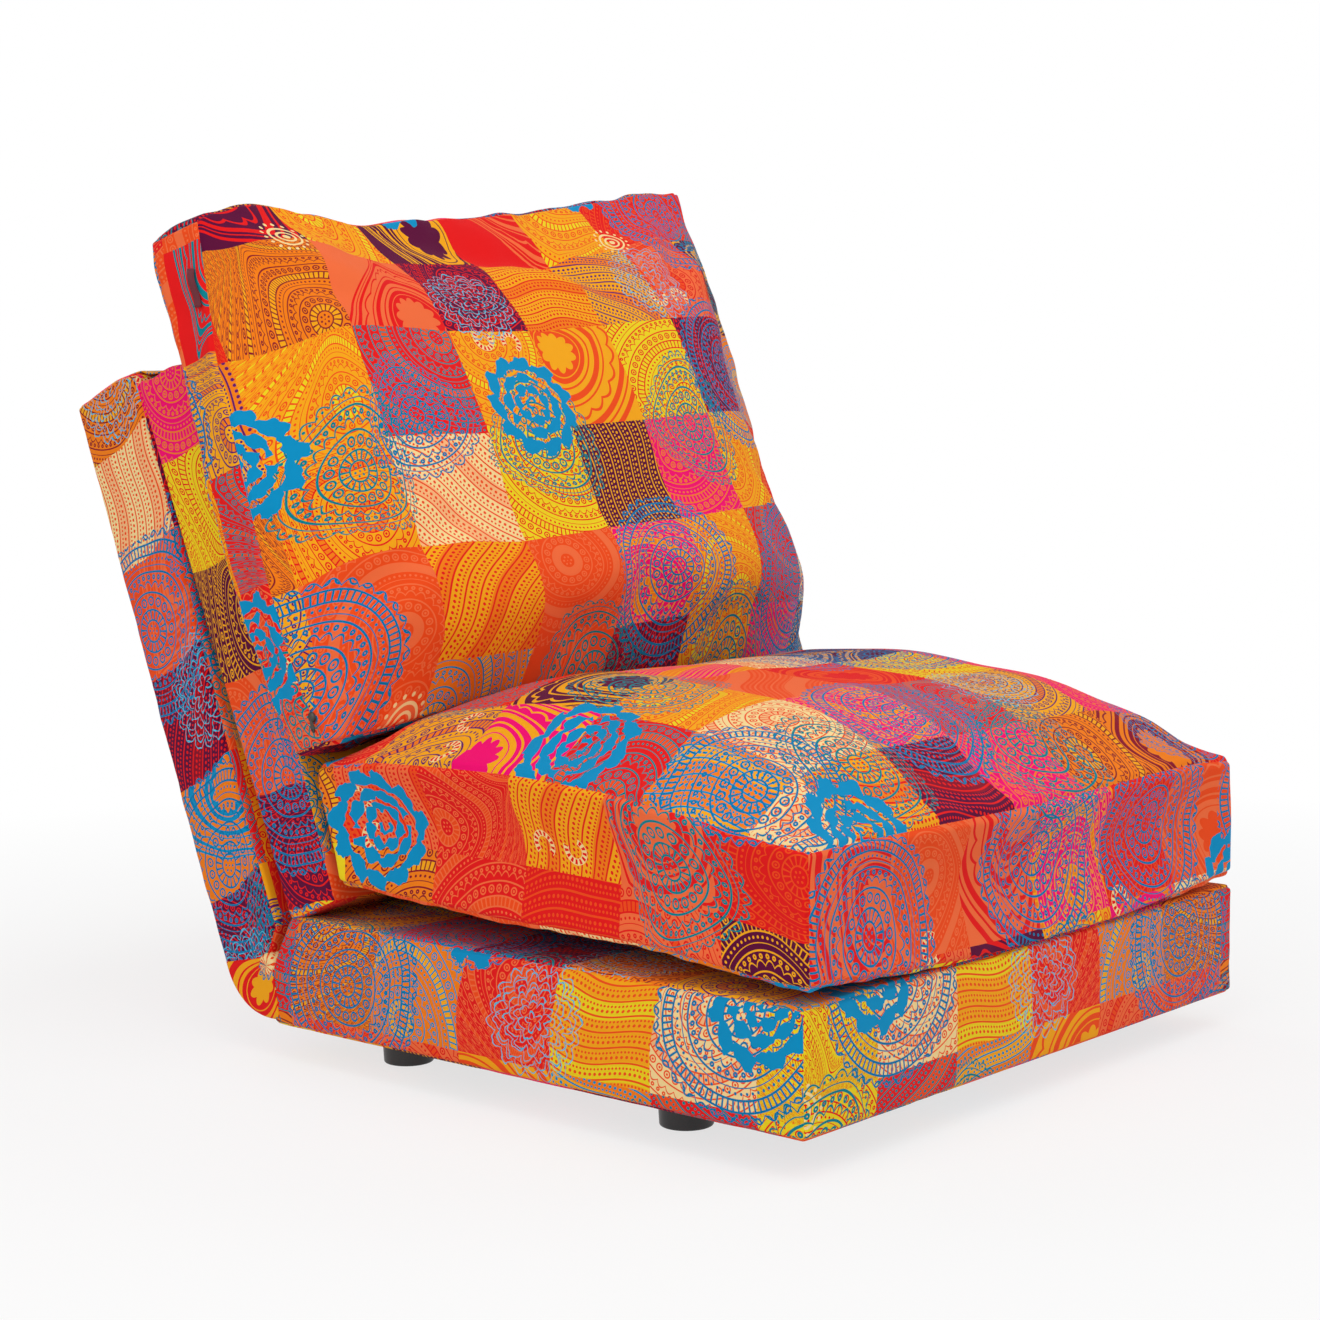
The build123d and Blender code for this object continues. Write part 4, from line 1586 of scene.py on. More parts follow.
PILLOW_FOLDS = (
    Fold((-0.13, 0.505), (0.11, 0.462), 0.0070, 0.015),
    Fold((0.345, 0.560), (0.225, 0.430), 0.0085, 0.016),
    Fold((0.365, 0.060), (0.270, 0.235), 0.0070, 0.015),
    Fold((-0.345, 0.470), (-0.215, 0.395), 0.0070, 0.014),
    Fold((-0.340, 0.100), (-0.200, 0.185), 0.0065, 0.015),
    Fold((0.020, 0.500), (0.160, 0.405), 0.0050, 0.013),
)
SEAT_LAYS = lays((2.75, 0.14), (0.4, 3.1), (2.33, 0.52), (3.3, 1.9), (2.1, 3.0), (3.3, 1.4))
PILLOW_LAYS = lays((4.75, 0.14), (4.4, 3.1), (2.33, 4.52), (7.3, 1.9), (6.1, 3.0), (6.3, 1.4))
CUSHIONS = (
    Cushion("seat_cushion", ("seat_cushion_cover", "seat_cushion_filling"),
            SewnBlock("seat_cushion_pad", SEAT_SIZE, seat_shape, SEAT_LAYS, 0.009, 0.0115),
            Inflation(cap=0.018),
            Seam(depth=0.0030, gather=0.0024, gather_length=0.036, reach=0.050, seed=61),
            Ripple(63, 0.0024, 0.17), seat_rest),
    Cushion("back_cushion", ("back_cushion_cover", "back_cushion_filling"),
            SewnBlock("back_cushion_pad", PILLOW_SIZE, pillow_shape, PILLOW_LAYS, 0.007, 0.0115),
            Inflation(cap=0.022, pressure=5.0),
            Seam(depth=0.0032, gather=0.0034, gather_length=0.042, reach=0.065, seed=81),
            Ripple(83, 0.0042, 0.19), pillow_rest, PILLOW_FOLDS, 0.7),
)


@dataclass(frozen=True)
class FoldWeb:
    """Strip of cover cloth that joins two sections over a fold."""

    name: str
    node: str
    bodies: tuple[str, str]
    path: tuple[tuple[float, float], ...]
    half_width: float
    lay: tuple[float, float]
    columns: int = 61
    wall: float = 0.0014

    def build(self, cloth: bpy.types.Material) -> None:
        """Make the strip along its path over the fold.

        Args:
            cloth: the strip's material.
        """
        route = np.array(self.path)
        columns = np.linspace(-self.half_width, self.half_width, self.columns)
        grid = np.stack([chair(columns, depth, height) for depth, height in route])
        points = grid.reshape(-1, 3)
        points[:, 2] += Ripple(7, 0.0009, 0.08).at(points)
        steps = np.concatenate([[0.0], np.cumsum(np.linalg.norm(np.diff(route, axis=0), axis=1))])
        faces = grid_quads(len(route), self.columns)
        places = np.stack([np.tile(columns, len(route)), np.repeat(steps, self.columns)], axis=-1)
        piece = new_piece(self.name, points, faces, places[faces] + self.lay)
        thicken(piece, self.wall)
        piece.data.materials.append(cloth)
        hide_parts(self.node)
        start, end = chair(np.zeros(2), route[[0, -1], 0], route[[0, -1], 1])
        2 * self.half_width
        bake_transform(piece)
        LOG.info("%s: %d faces", self.name, len(piece.data.polygons))


@dataclass(frozen=True)
class HingeWedge:
    """Cloth round the bend between the base and the back section, with a roll on the pivot line."""

    half_width: float = 0.3505
    low_angle: float = -99.0
    high_angle: float = -13.0
    tuck: float = 0.009
    radius: float = 0.0533
    bulge: float = 0.0030
    growth: float = 0.0105
    rim: float = 0.007
    hub: float = 0.002
    roll_radius: float = 0.0105
    roll_sides: int = 24
    wall: float = 0.0014
    lay: tuple[float, float] = (0.3, 5.1)

    def share(self, angle: float) -> float:
        """How far round the bend an angle lies."""
        return (angle - self.low_angle) / (self.high_angle - self.low_angle)

    def outline(self, angle: float) -> tuple[list[float], list[float]]:
        """Widths and radii round the wedge's section at one angle.

        Args:
            angle: angle of the section in degrees.

        Returns:
            The widths and the radii.
        """
        share = self.share(angle)
        reach = self.radius + self.bulge * math.sin(math.pi * share) ** 1.2 + self.growth * share ** 2
        side, crest = self.half_width - self.rim, reach - self.rim
        inner = np.linspace(self.hub, crest, 7)[:-1]
        corner = np.radians(np.linspace(0, 90, 5))
        half_widths = [self.half_width] * len(inner) + [side + self.rim * math.cos(a) for a in corner]
        half_radii = list(inner) + [crest + self.rim * math.sin(a) for a in corner]
        middle = np.linspace(side, -side, 50)[1:-1]
        widths = half_widths + list(middle) + [-width for width in reversed(half_widths)]
        return widths, half_radii + [reach] * len(middle) + half_radii[::-1]

    def roll(self, first: int) -> tuple[np.ndarray, np.ndarray, np.ndarray]:
        """Cloth roll round the pivot line, which closes the groove over the wedge.

        Args:
            first: number of the roll's first point.

        Returns:
            Its points, the four point numbers of each face, and the print place of each point.
        """
        reach, ends = self.roll_radius, self.half_width
        profile = [(-ends, 0.0004), (-ends, reach - 0.003), (-ends + 0.001, reach - 0.001),
                   (-ends + 0.003, reach)]
        profile += [(x, reach) for x in np.linspace(-ends + 0.02, ends - 0.02, 30)]
        profile += [(-x, radius) for x, radius in profile[3::-1]]
        turns = np.linspace(0, FULL_TURN, self.roll_sides, endpoint=False)
        widths, radii = (np.array(values)[:, None] for values in zip(*profile))
        depths, heights = PIVOT[0] + radii * np.cos(turns), PIVOT[1] + radii * np.sin(turns)
        points = chair(widths, depths, heights).reshape(-1, 3)
        number = first + np.arange(widths.size * self.roll_sides).reshape(-1, self.roll_sides)
        after = np.roll(number, -1, axis=1)
        faces = np.stack([number[:-1], number[1:], after[1:], after[:-1]], axis=-1).reshape(-1, 4)
        places = np.stack(np.broadcast_arrays(widths, turns * reach), axis=-1).reshape(-1, 2)
        return points, faces, places

    def build(self, cloth: bpy.types.Material) -> None:
        """Make the wedge round the bend between the base and the back section.

        Args:
            cloth: the cover's material.
        """
        angles = np.linspace(self.low_angle, self.high_angle, 25)
        rows, lengths = [], []
        for angle in angles:
            widths, radii = (np.array(values) for values in self.outline(angle))
            turn, share = math.radians(angle), self.share(angle)
            into_base, into_back = self.tuck * (1 - share) ** 3, self.tuck * share ** 3
            rows.append(chair(widths, PIVOT[0] + radii * math.cos(turn) - into_base + into_back * ALONG[0],
                              PIVOT[1] + radii * math.sin(turn) + into_back * ALONG[1]))
            lengths.append(np.concatenate([[0.0], np.cumsum(np.hypot(np.diff(widths), np.diff(radii)))]))
        grid, around = np.stack(rows), np.stack(lengths)
        arcs = np.repeat(np.radians(angles) * self.radius, grid.shape[1])
        roll, roll_faces, roll_places = self.roll(arcs.size)
        faces = np.concatenate([grid_quads(*grid.shape[:2]), roll_faces])
        places = np.concatenate([np.stack([around.reshape(-1), arcs], axis=-1), roll_places])
        piece = new_piece("hinge_web", np.concatenate([grid.reshape(-1, 3), roll]), faces,
                          places[faces] + self.lay)
        points, normals = read_points(piece), read_normals(piece)
        outward = 1.0 if np.sum(normals * (points - chair(0.0, *PIVOT))) > 0 else -1.0
        push = outward * Ripple(17, 0.0007, 0.07).at(points)
        write_points(piece, points + normals * push[:, None])
        thicken(piece, self.wall, -outward)
        piece.data.materials.append(cloth)
        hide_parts("hinge_gusset")
        start, end = (tuple(chair(0.0, PIVOT[0] + self.radius * math.cos(turn),
                                  PIVOT[1] + self.radius * math.sin(turn)))
                      for turn in (math.radians(self.low_angle), math.radians(self.high_angle)))
        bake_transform(piece)
        LOG.info("hinge_web: %d faces", len(piece.data.polygons))


def top_path() -> tuple[tuple[float, float], ...]:
    """Route of the web over the top fold.

    Returns:
        The depth and height of each place.
    """
    rear_marks = ((0.030, 0.0100), (0.022, 0.0092), (0.014, 0.0080), (0.007, 0.0066), (0.002, 0.0050))
    front_marks = ((0.004, 0.0080), (0.009, 0.0074), (0.016, 0.0072), (0.024, 0.0080), (0.030, 0.0092))
    rear = [on_back(BACK_LENGTH + rise, BACK_FRONT - reach) for reach, rise in rear_marks]
    front = [on_head(0.006 + reach * math.tan(LEAN) - rise, reach) for reach, rise in front_marks]
    return tuple(rear + front)


@dataclass(frozen=True)
class ToothRow:
    """Geometry nodes that set metal teeth along a line."""

    pitch: float = 0.0026
    tooth: Triple = (0.0014, 0.0012, 0.0042)

    def build(self, name: str, line: np.ndarray, metal: bpy.types.Material) -> bpy.types.Object:
        """Set the teeth along a line and keep them as a plain mesh.

        Args:
            name: the piece's name.
            line: points of the line in the chair's frame.
            metal: the teeth's material.

        Returns:
            The finished piece, not yet on a body.
        """
        group = bpy.data.node_groups.new(f"{name} tree", "GeometryNodeTree")
        face = group.interface
        face.new_socket("Geometry", in_out="INPUT", socket_type="NodeSocketGeometry")
        pitch = face.new_socket("Pitch", in_out="INPUT", socket_type="NodeSocketFloat")
        size = face.new_socket("Tooth Size", in_out="INPUT", socket_type="NodeSocketVector")
        face.new_socket("Geometry", in_out="OUTPUT", socket_type="NodeSocketGeometry")
        kinds = {"entry": "NodeGroupInput", "leave": "NodeGroupOutput", "curve": "GeometryNodeMeshToCurve",
                 "spread": "GeometryNodeResampleCurve", "tooth": "GeometryNodeMeshCube",
                 "set": "GeometryNodeInstanceOnPoints", "real": "GeometryNodeRealizeInstances",
                 "finish": "GeometryNodeSetMaterial", "tangent": "GeometryNodeInputTangent",
                 "turn": "FunctionNodeAlignRotationToVector"}
        node = {key: group.nodes.new(kind) for key, kind in kinds.items()}
        node["spread"].mode = "LENGTH"
        node["turn"].axis = "X"
        node["finish"].inputs["Material"].default_value = metal
        for output, entry in ((node["entry"].outputs["Geometry"], node["curve"].inputs["Mesh"]),
                              (node["curve"].outputs["Curve"], node["spread"].inputs["Curve"]),
                              (node["entry"].outputs["Pitch"], node["spread"].inputs["Length"]),
                              (node["entry"].outputs["Tooth Size"], node["tooth"].inputs["Size"]),
                              (node["spread"].outputs["Curve"], node["set"].inputs["Points"]),
                              (node["tooth"].outputs["Mesh"], node["set"].inputs["Instance"]),
                              (node["tangent"].outputs["Tangent"], node["turn"].inputs["Vector"]),
                              (node["turn"].outputs["Rotation"], node["set"].inputs["Rotation"]),
                              (node["set"].outputs["Instances"], node["real"].inputs["Geometry"]),
                              (node["real"].outputs["Geometry"], node["finish"].inputs["Geometry"]),
                              (node["finish"].outputs["Geometry"], node["leave"].inputs["Geometry"])):
            group.links.new(output, entry)
        mesh = bpy.data.meshes.new(name)
        mesh.from_pydata(line.tolist(), [(index, index + 1) for index in range(len(line) - 1)], [])
        piece = add_object(name, mesh)
        modifier = piece.modifiers.new("teeth", "NODES")
        modifier.node_group = group
        modifier[pitch.identifier] = self.pitch
        modifier[size.identifier] = self.tooth
        settle(piece)
        return piece


@dataclass(frozen=True)
class Zip:
    """Zip along a cushion: two tapes laid on the cloth and a row of teeth between them."""

    name: str
    node: str
    body: str
    cushion: str
    ends: tuple[Triple, Triple]
    across: Triple
    outward: Triple
    teeth: ToothRow = ToothRow()
    tape_half: float = 0.0105
    wall: float = 0.0008
    lift: float = 0.0009
    cast: float = 0.05
    steps: int = 161

    def build(self, tape: bpy.types.Material, metal: bpy.types.Material) -> None:
        """Lay the tape and the teeth along the cushion's own surface.

        Args:
            tape: material of the woven tape.
            metal: material of the teeth.
        """
        tree = surface_tree(bpy.data.objects[self.cushion])
        start, end = (np.array(place) for place in self.ends)
        across, outward = Vector(self.across), Vector(self.outward)
        rows = []
        for share in np.linspace(0, 1, self.steps):
            middle = Vector(chair(*(start + (end - start) * share)))
            row = []
            for reach in (-1.0, -0.5, 0.0, 0.5, 1.0):
                source = middle + across * (reach * self.tape_half) + outward * self.cast
                hit = tree.ray_cast(source, -outward, 2.4 * self.cast)[0]
                row.append((hit if hit is not None else source - outward * self.cast) + outward * self.lift)
            rows.append([tuple(point) for point in row])
        grid = np.array(rows)
        for _ in range(2):
            grid[1:-1] = (grid[:-2] + 2 * grid[1:-1] + grid[2:]) / 4
        band = new_piece(f"{self.name}_tape", grid.reshape(-1, 3), grid_quads(*grid.shape[:2]))
        thicken(band, self.wall)
        band.data.materials.append(tape)
        line = grid[:, 2] + np.array(self.outward) * self.lift
        row = self.teeth.build(f"{self.name}_teeth", line, metal)
        for piece, slot in ((band, "zip_tape"), (row, "zip_metal")):
            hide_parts(self.node)
            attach(piece, self.body)
            LOG.info("%s: %d faces", piece.name, len(piece.data.polygons))


ZIPS = (
    Zip("seat_cushion_zip_dressed", "seat_cushion_zip", "seat_cushion", "seat_cushion_pad",
        ((-0.280, 0.572, 0.1862), (0.280, 0.572, 0.1862)), (0.0, 0.0, 1.0), (0.0, 1.0, 0.0)),
    Zip("back_cushion_zip_dressed", "back_cushion_zip", "back_cushion", "back_cushion_pad",
        ((-0.292, 0.590, 0.281), (0.292, 0.590, 0.281)), (0.0, -FACE_RUN[1], FACE_RUN[0]),
        (0.0, -FACE_RUN[0], -FACE_RUN[1]), ToothRow(tooth=(0.0014, 0.0042, 0.0014))),
)


@dataclass(frozen=True)
class Puller:
    """Zip slider with its pull hanging from it."""

    name: str
    node: str
    body: str
    place: Triple
    outward: Triple
    down: Triple
    cushion: str
    length: float = 0.020
    half_width: float = 0.0032
    thickness: float = 0.0016
    slider_half: tuple[float, float] = (0.0042, 0.0052)
    lift: float = 0.0014
    bevel: float = 0.0003

    @staticmethod
    def bands(first: int, rings: int, count: int, closed: bool) -> list[list[int]]:
        """Faces between neighbouring rings of points, and from the last to the first if closed.

        Args:
            first: number of the first point.
            rings: how many rings.
            count: points in a ring.
            closed: whether the last ring joins the first.

        Returns:
            The point numbers of each face.
        """
        faces = []
        for ring in range(rings if closed else rings - 1):
            low, high = first + ring * count, first + (ring + 1) % rings * count
            faces += [[low + index, low + (index + 1) % count, high + (index + 1) % count, high + index]
                      for index in range(count)]
        return faces

    def plate(self) -> tuple[np.ndarray, list[list[int]]]:
        """Pull with a round end and a hole, lying in its own plane.

        Returns:
            Its points and faces.
        """
        sides = 28
        turns = np.linspace(0, FULL_TURN, sides, endpoint=False)
        swing, rise = np.cos(turns), np.sin(turns)
        outer = np.stack([rise * self.half_width * (1 - 0.25 * (swing < 0)),
                          self.length / 2 + swing * self.length / 2], axis=-1)
        hole = np.stack([rise * self.half_width * 0.45, self.length * (0.80 + swing * 0.09)], axis=-1)
        rings = ((outer, 0.0), (hole, 0.0), (hole, self.thickness), (outer, self.thickness))
        layers = [np.column_stack([ring, np.full(sides, height)]) for ring, height in rings]
        return np.concatenate(layers), self.bands(0, len(layers), sides, True)

    def slider(self, first: int) -> tuple[np.ndarray, list[list[int]]]:
        """Round-backed slider body with a bridge, as stacked outlines.

        Args:
            first: number of its first point.

        Returns:
            Its points and faces.
        """
        sides = 24
        turns = np.linspace(0, FULL_TURN, sides, endpoint=False)
        stack = ((-0.0012, 1.0), (0.0010, 1.0), (0.0022, 0.82), (0.0030, 0.42))
        points = [np.column_stack([np.sin(turns) * self.slider_half[0] * share,
                                   np.cos(turns) * self.slider_half[1] * share - 0.002,
                                   np.full(sides, height)]) for height, share in stack]
        last = first + (len(stack) - 1) * sides
        faces = self.bands(first, len(stack), sides, False)
        faces += [list(range(first + sides - 1, first - 1, -1)), list(range(last, last + sides))]
        return np.concatenate(points), faces

    def build(self, metal: bpy.types.Material) -> None:
        """Make the slider and pull on the cushion's surface.

        Args:
            metal: their material.
        """
        tree = surface_tree(bpy.data.objects[self.cushion])
        outward = Vector(self.outward).normalized()
        origin = Vector(chair(*self.place))
        hit = tree.ray_cast(origin + outward * 0.05, -outward, 0.12)[0]
        origin = (hit if hit is not None else origin) + outward * self.lift
        down = (Vector(self.down) - outward * Vector(self.down).dot(outward)).normalized()
        side = down.cross(outward)
        plate, faces = self.plate()
        plate[:, 2] += self.lift
        body, body_faces = self.slider(len(plate))
        points = np.concatenate([plate, body])
        basis = np.array([tuple(side), tuple(down), tuple(outward)])
        piece = new_piece(self.name, points @ basis + np.array(tuple(origin)), faces + body_faces)
        turn_outward(piece)
        edge = piece.modifiers.new("edge", "BEVEL")
        edge.width = self.bevel
        edge.segments = 2
        settle(piece)
        piece.data.materials.append(metal)
        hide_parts(self.node)
        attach(piece, self.body)
        LOG.info("%s: %d faces", piece.name, len(piece.data.polygons))


PULLERS = (
    Puller("seat_cushion_pull", "seat_cushion_zip_puller", "seat_cushion", (0.2765, 0.575, 0.1862),
           (0.0, 1.0, 0.0), (0.0, 0.0, -1.0), "seat_cushion_pad"),
    Puller("back_cushion_pull", "back_cushion_zip_puller", "back_cushion", (-0.360, 0.5740, 0.3010),
           (-1.0, 0.0, 0.0), (0.0, -0.32, -0.95), "back_cushion_pad", length=0.013, half_width=0.0026),
)


def turn_outward(piece: bpy.types.Object) -> None:
    """Point every face of a closed piece outwards.

    Args:
        piece: the piece.
    """
    shell = bmesh.new()
    shell.from_mesh(piece.data)
    bmesh.ops.recalc_face_normals(shell, faces=shell.faces)
    shell.to_mesh(piece.data)
    shell.free()


@dataclass(frozen=True)
class SewnTab:
    """Plain folded ribbon sewn into the back cushion's near front seam."""

    top: tuple[float, float] = (0.7235, 0.7272)
    foot: tuple[float, float] = (0.7110, 0.6900)
    half_width: float = 0.0058
    wall: float = 0.0011
    beside: float = -0.46
    missed: float = -0.366
    rows: int = 13
    columns: int = 5

    def build(self, ribbon: bpy.types.Material) -> None:
        """Lay the tab against the cushion's side.

        Args:
            ribbon: its material.
        """
        tree = surface_tree(bpy.data.objects["back_cushion_pad"])
        reaches = np.linspace(-1, 1, self.columns)
        rows = []
        for share in np.linspace(0, 1, self.rows):
            depth, height = (top + (foot - top) * share for top, foot in zip(self.top, self.foot))
            sides = []
            for reach in reaches:
                source = Vector(chair(self.beside, depth + reach * self.half_width, height))
                hit = tree.ray_cast(source, Vector((1, 0, 0)))[0]
                curl = 0.0010 + 0.0016 * (0.5 - 0.5 * reach) ** 2 + 0.0008 * math.sin(share * 7)
                sides.append((hit.x if hit is not None else self.missed) - curl)
            rows.append(chair(np.array(sides), depth + reaches * self.half_width, height))
        grid, faces = np.stack(rows), grid_quads(self.rows, self.columns)
        points = grid.reshape(-1, 3)
        piece = new_piece("back_cushion_plain_tab", points, faces, points[faces][..., 1:])
        thicken(piece, self.wall)
        piece.data.materials.append(ribbon)
        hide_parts("back_cushion_tab")
        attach(piece, "back_cushion")
        LOG.info("%s: %d faces", piece.name, len(piece.data.polygons))


def new_material(name: str) -> tuple[bpy.types.Material, bpy.types.NodeTree, bpy.types.Node]:
    """New material, its tree and its principled shader.

    Args:
        name: the material's name.

    Returns:
        The material, the tree and the shader.
    """
    material = bpy.data.materials.new(name)
    material.use_nodes = True
    return material, material.node_tree, material.node_tree.nodes["Principled BSDF"]


def add_bump(shader: bpy.types.Node, height: Field, distance: float, strength: float = 1.0) -> None:
    """Raise a shader's surface by a height field.

    Args:
        shader: the shader.
        height: the height field.
        distance: a whole step in metres.
        strength: share of the effect.
    """
    bump = height.tree.nodes.new("ShaderNodeBump")
    bump.inputs["Distance"].default_value = distance
    bump.inputs["Strength"].default_value = strength
    height.tree.links.new(height.socket, bump.inputs["Height"])
    height.tree.links.new(bump.outputs[0], shader.inputs["Normal"])


class Grain:
    """Shader group for the fine unevenness that moulded, painted and sawn surfaces share."""

    def __init__(self) -> None:
        """Make the group: place and pitch in, height and tone out."""
        group, entry, leave = shader_group("fine grain",
                                           {"Place": SocketKind.VECTOR, "Scale": SocketKind.NUMBER},
                                           {"Height": SocketKind.NUMBER, "Tone": SocketKind.NUMBER})
        fine, broad = (group.nodes.new("ShaderNodeTexNoise") for _ in range(2))
        fine.inputs["Detail"].default_value = 3.0
        broad.inputs["Scale"].default_value = 22.0
        broad.inputs["Detail"].default_value = 4.0
        for noise in (fine, broad):
            group.links.new(entry.outputs[0], noise.inputs["Vector"])
        group.links.new(entry.outputs[1], fine.inputs["Scale"])
        group.links.new(fine.outputs[0], leave.inputs[0])
        group.links.new(broad.outputs[0], leave.inputs[1])
        self.group = group


@dataclass(frozen=True)
class HardFinish:
    """Finish of a rigid part: its colour, gloss, metal share and grain."""

    name: str
    colour: Colour
    worn: Colour
    roughness: float
    metallic: float = 0.0
    grain_scale: float = 900.0
    grain_height: float = 0.00006
    stretch: Triple = (1.0, 1.0, 1.0)

    def material(self, grain: Grain) -> bpy.types.Material:
        """Make the finish's material.

        Args:
            grain: the shared grain group.

        Returns:
            The material.
        """
        material, tree, shader = new_material(self.name)
        place = tree.nodes.new("ShaderNodeTexCoord")
        mapping = tree.nodes.new("ShaderNodeMapping")
        mapping.inputs["Scale"].default_value = self.stretch
        tree.links.new(place.outputs["Object"], mapping.inputs["Vector"])
        speckle = tree.nodes.new("ShaderNodeGroup")
        speckle.node_tree = grain.group
        speckle.inputs["Scale"].default_value = self.grain_scale
        tree.links.new(mapping.outputs[0], speckle.inputs["Place"])
        height, tone = Field(tree, speckle.outputs["Height"]), Field(tree, speckle.outputs["Tone"])
        mix = tree.nodes.new("ShaderNodeMix")
        mix.data_type = "RGBA"
        mix.inputs[6].default_value = self.colour
        mix.inputs[7].default_value = self.worn
        tree.links.new((tone * height * 1.6).socket, mix.inputs[0])
        tree.links.new(mix.outputs[2], shader.inputs["Base Color"])
        tree.links.new((tone * 0.22 + (self.roughness - 0.11)).socket, shader.inputs["Roughness"])
        add_bump(shader, height, self.grain_height)
        shader.inputs["Metallic"].default_value = self.metallic
        return material


FINISHES = {
    "foot_plastic": HardFinish("black moulded plastic", srgb(26, 25, 26), srgb(58, 56, 56), 0.42),
    "black_steel": HardFinish("black painted steel", srgb(24, 24, 26), srgb(70, 70, 72), 0.38, 0.0, 500.0,
                              0.00003),
    "zinc_steel": HardFinish("zinc plated steel", srgb(188, 190, 192), srgb(140, 142, 146), 0.34, 1.0,
                             700.0),
    "board": HardFinish("plywood board", srgb(206, 170, 122), srgb(150, 108, 66), 0.70, 0.0, 260.0,
                        0.0002, (0.08, 1.0, 1.0)),
    "zip_metal": HardFinish("dark zip metal", srgb(44, 40, 38), srgb(96, 90, 82), 0.42, 0.6, 800.0),
    "zip_tape": HardFinish("zip tape", srgb(196, 52, 26), srgb(150, 30, 18), 0.86, 0.0, 1500.0, 0.00012),
    "tab_cloth": HardFinish("maroon ribbon", srgb(84, 6, 26), srgb(120, 22, 44), 0.70, 0.0, 1400.0,
                            0.00014, (1.0, 0.25, 1.0)),
}


HARDWARE = (("foot_screw", "zinc_steel"), ("foot", "foot_plastic"), ("deck", "board"),
            ("pivot_pin", "zinc_steel"), ("frame", "black_steel"), ("hinge_arm", "black_steel"),
            ("hinge_sector", "black_steel"), ("pawl", "zinc_steel"))


def dress_hardware(frame: dict, finishes: dict[str, bpy.types.Material]) -> None:
    """Give the rigid CAD nodes that stay their finishes.

    Args:
        frame: what the frame loader returned.
        finishes: material of each finish name.
    """
    for name, node in frame["nodes"].items():
        finish = next((value for key, value in HARDWARE if key in name), None)
        if finish is None:
            continue
        for slot in node.material_slots:
            slot.material = finishes[finish]
        LOG.info("%s: %s", name, finish)


@dataclass(frozen=True)
class ClothFinish:
    """Finish of a printed cotton cover."""

    roughness: float = 0.88
    sheen: float = 0.02
    gloss: float = 0.15
    weave_pitch: float = 0.0011
    weave_height: float = 0.00012
    weave_strength: float = 0.6

    def material(self, printed: PrintCloth) -> bpy.types.Material:
        """Make the cover's material.

        Args:
            printed: the print.

        Returns:
            The material.
        """
        material, tree, shader = new_material("printed cotton")
        cloth = tree.nodes.new("ShaderNodeUVMap")
        cloth.uv_map = "cloth"
        colour = tree.nodes.new("ShaderNodeGroup")
        colour.node_tree = printed.group
        tree.links.new(cloth.outputs[0], colour.inputs[0])
        tree.links.new(colour.outputs[0], shader.inputs["Base Color"])
        u, v, _ = vector_parts(tree, cloth.outputs[0])
        turns = FULL_TURN / self.weave_pitch
        height = (u * turns).math("SINE") * (v * turns).math("SINE")
        add_bump(shader, height, self.weave_height, self.weave_strength)
        shader.inputs["Roughness"].default_value = self.roughness
        shader.inputs["Sheen Weight"].default_value = self.sheen
        shader.inputs["Specular IOR Level"].default_value = self.gloss
        return material


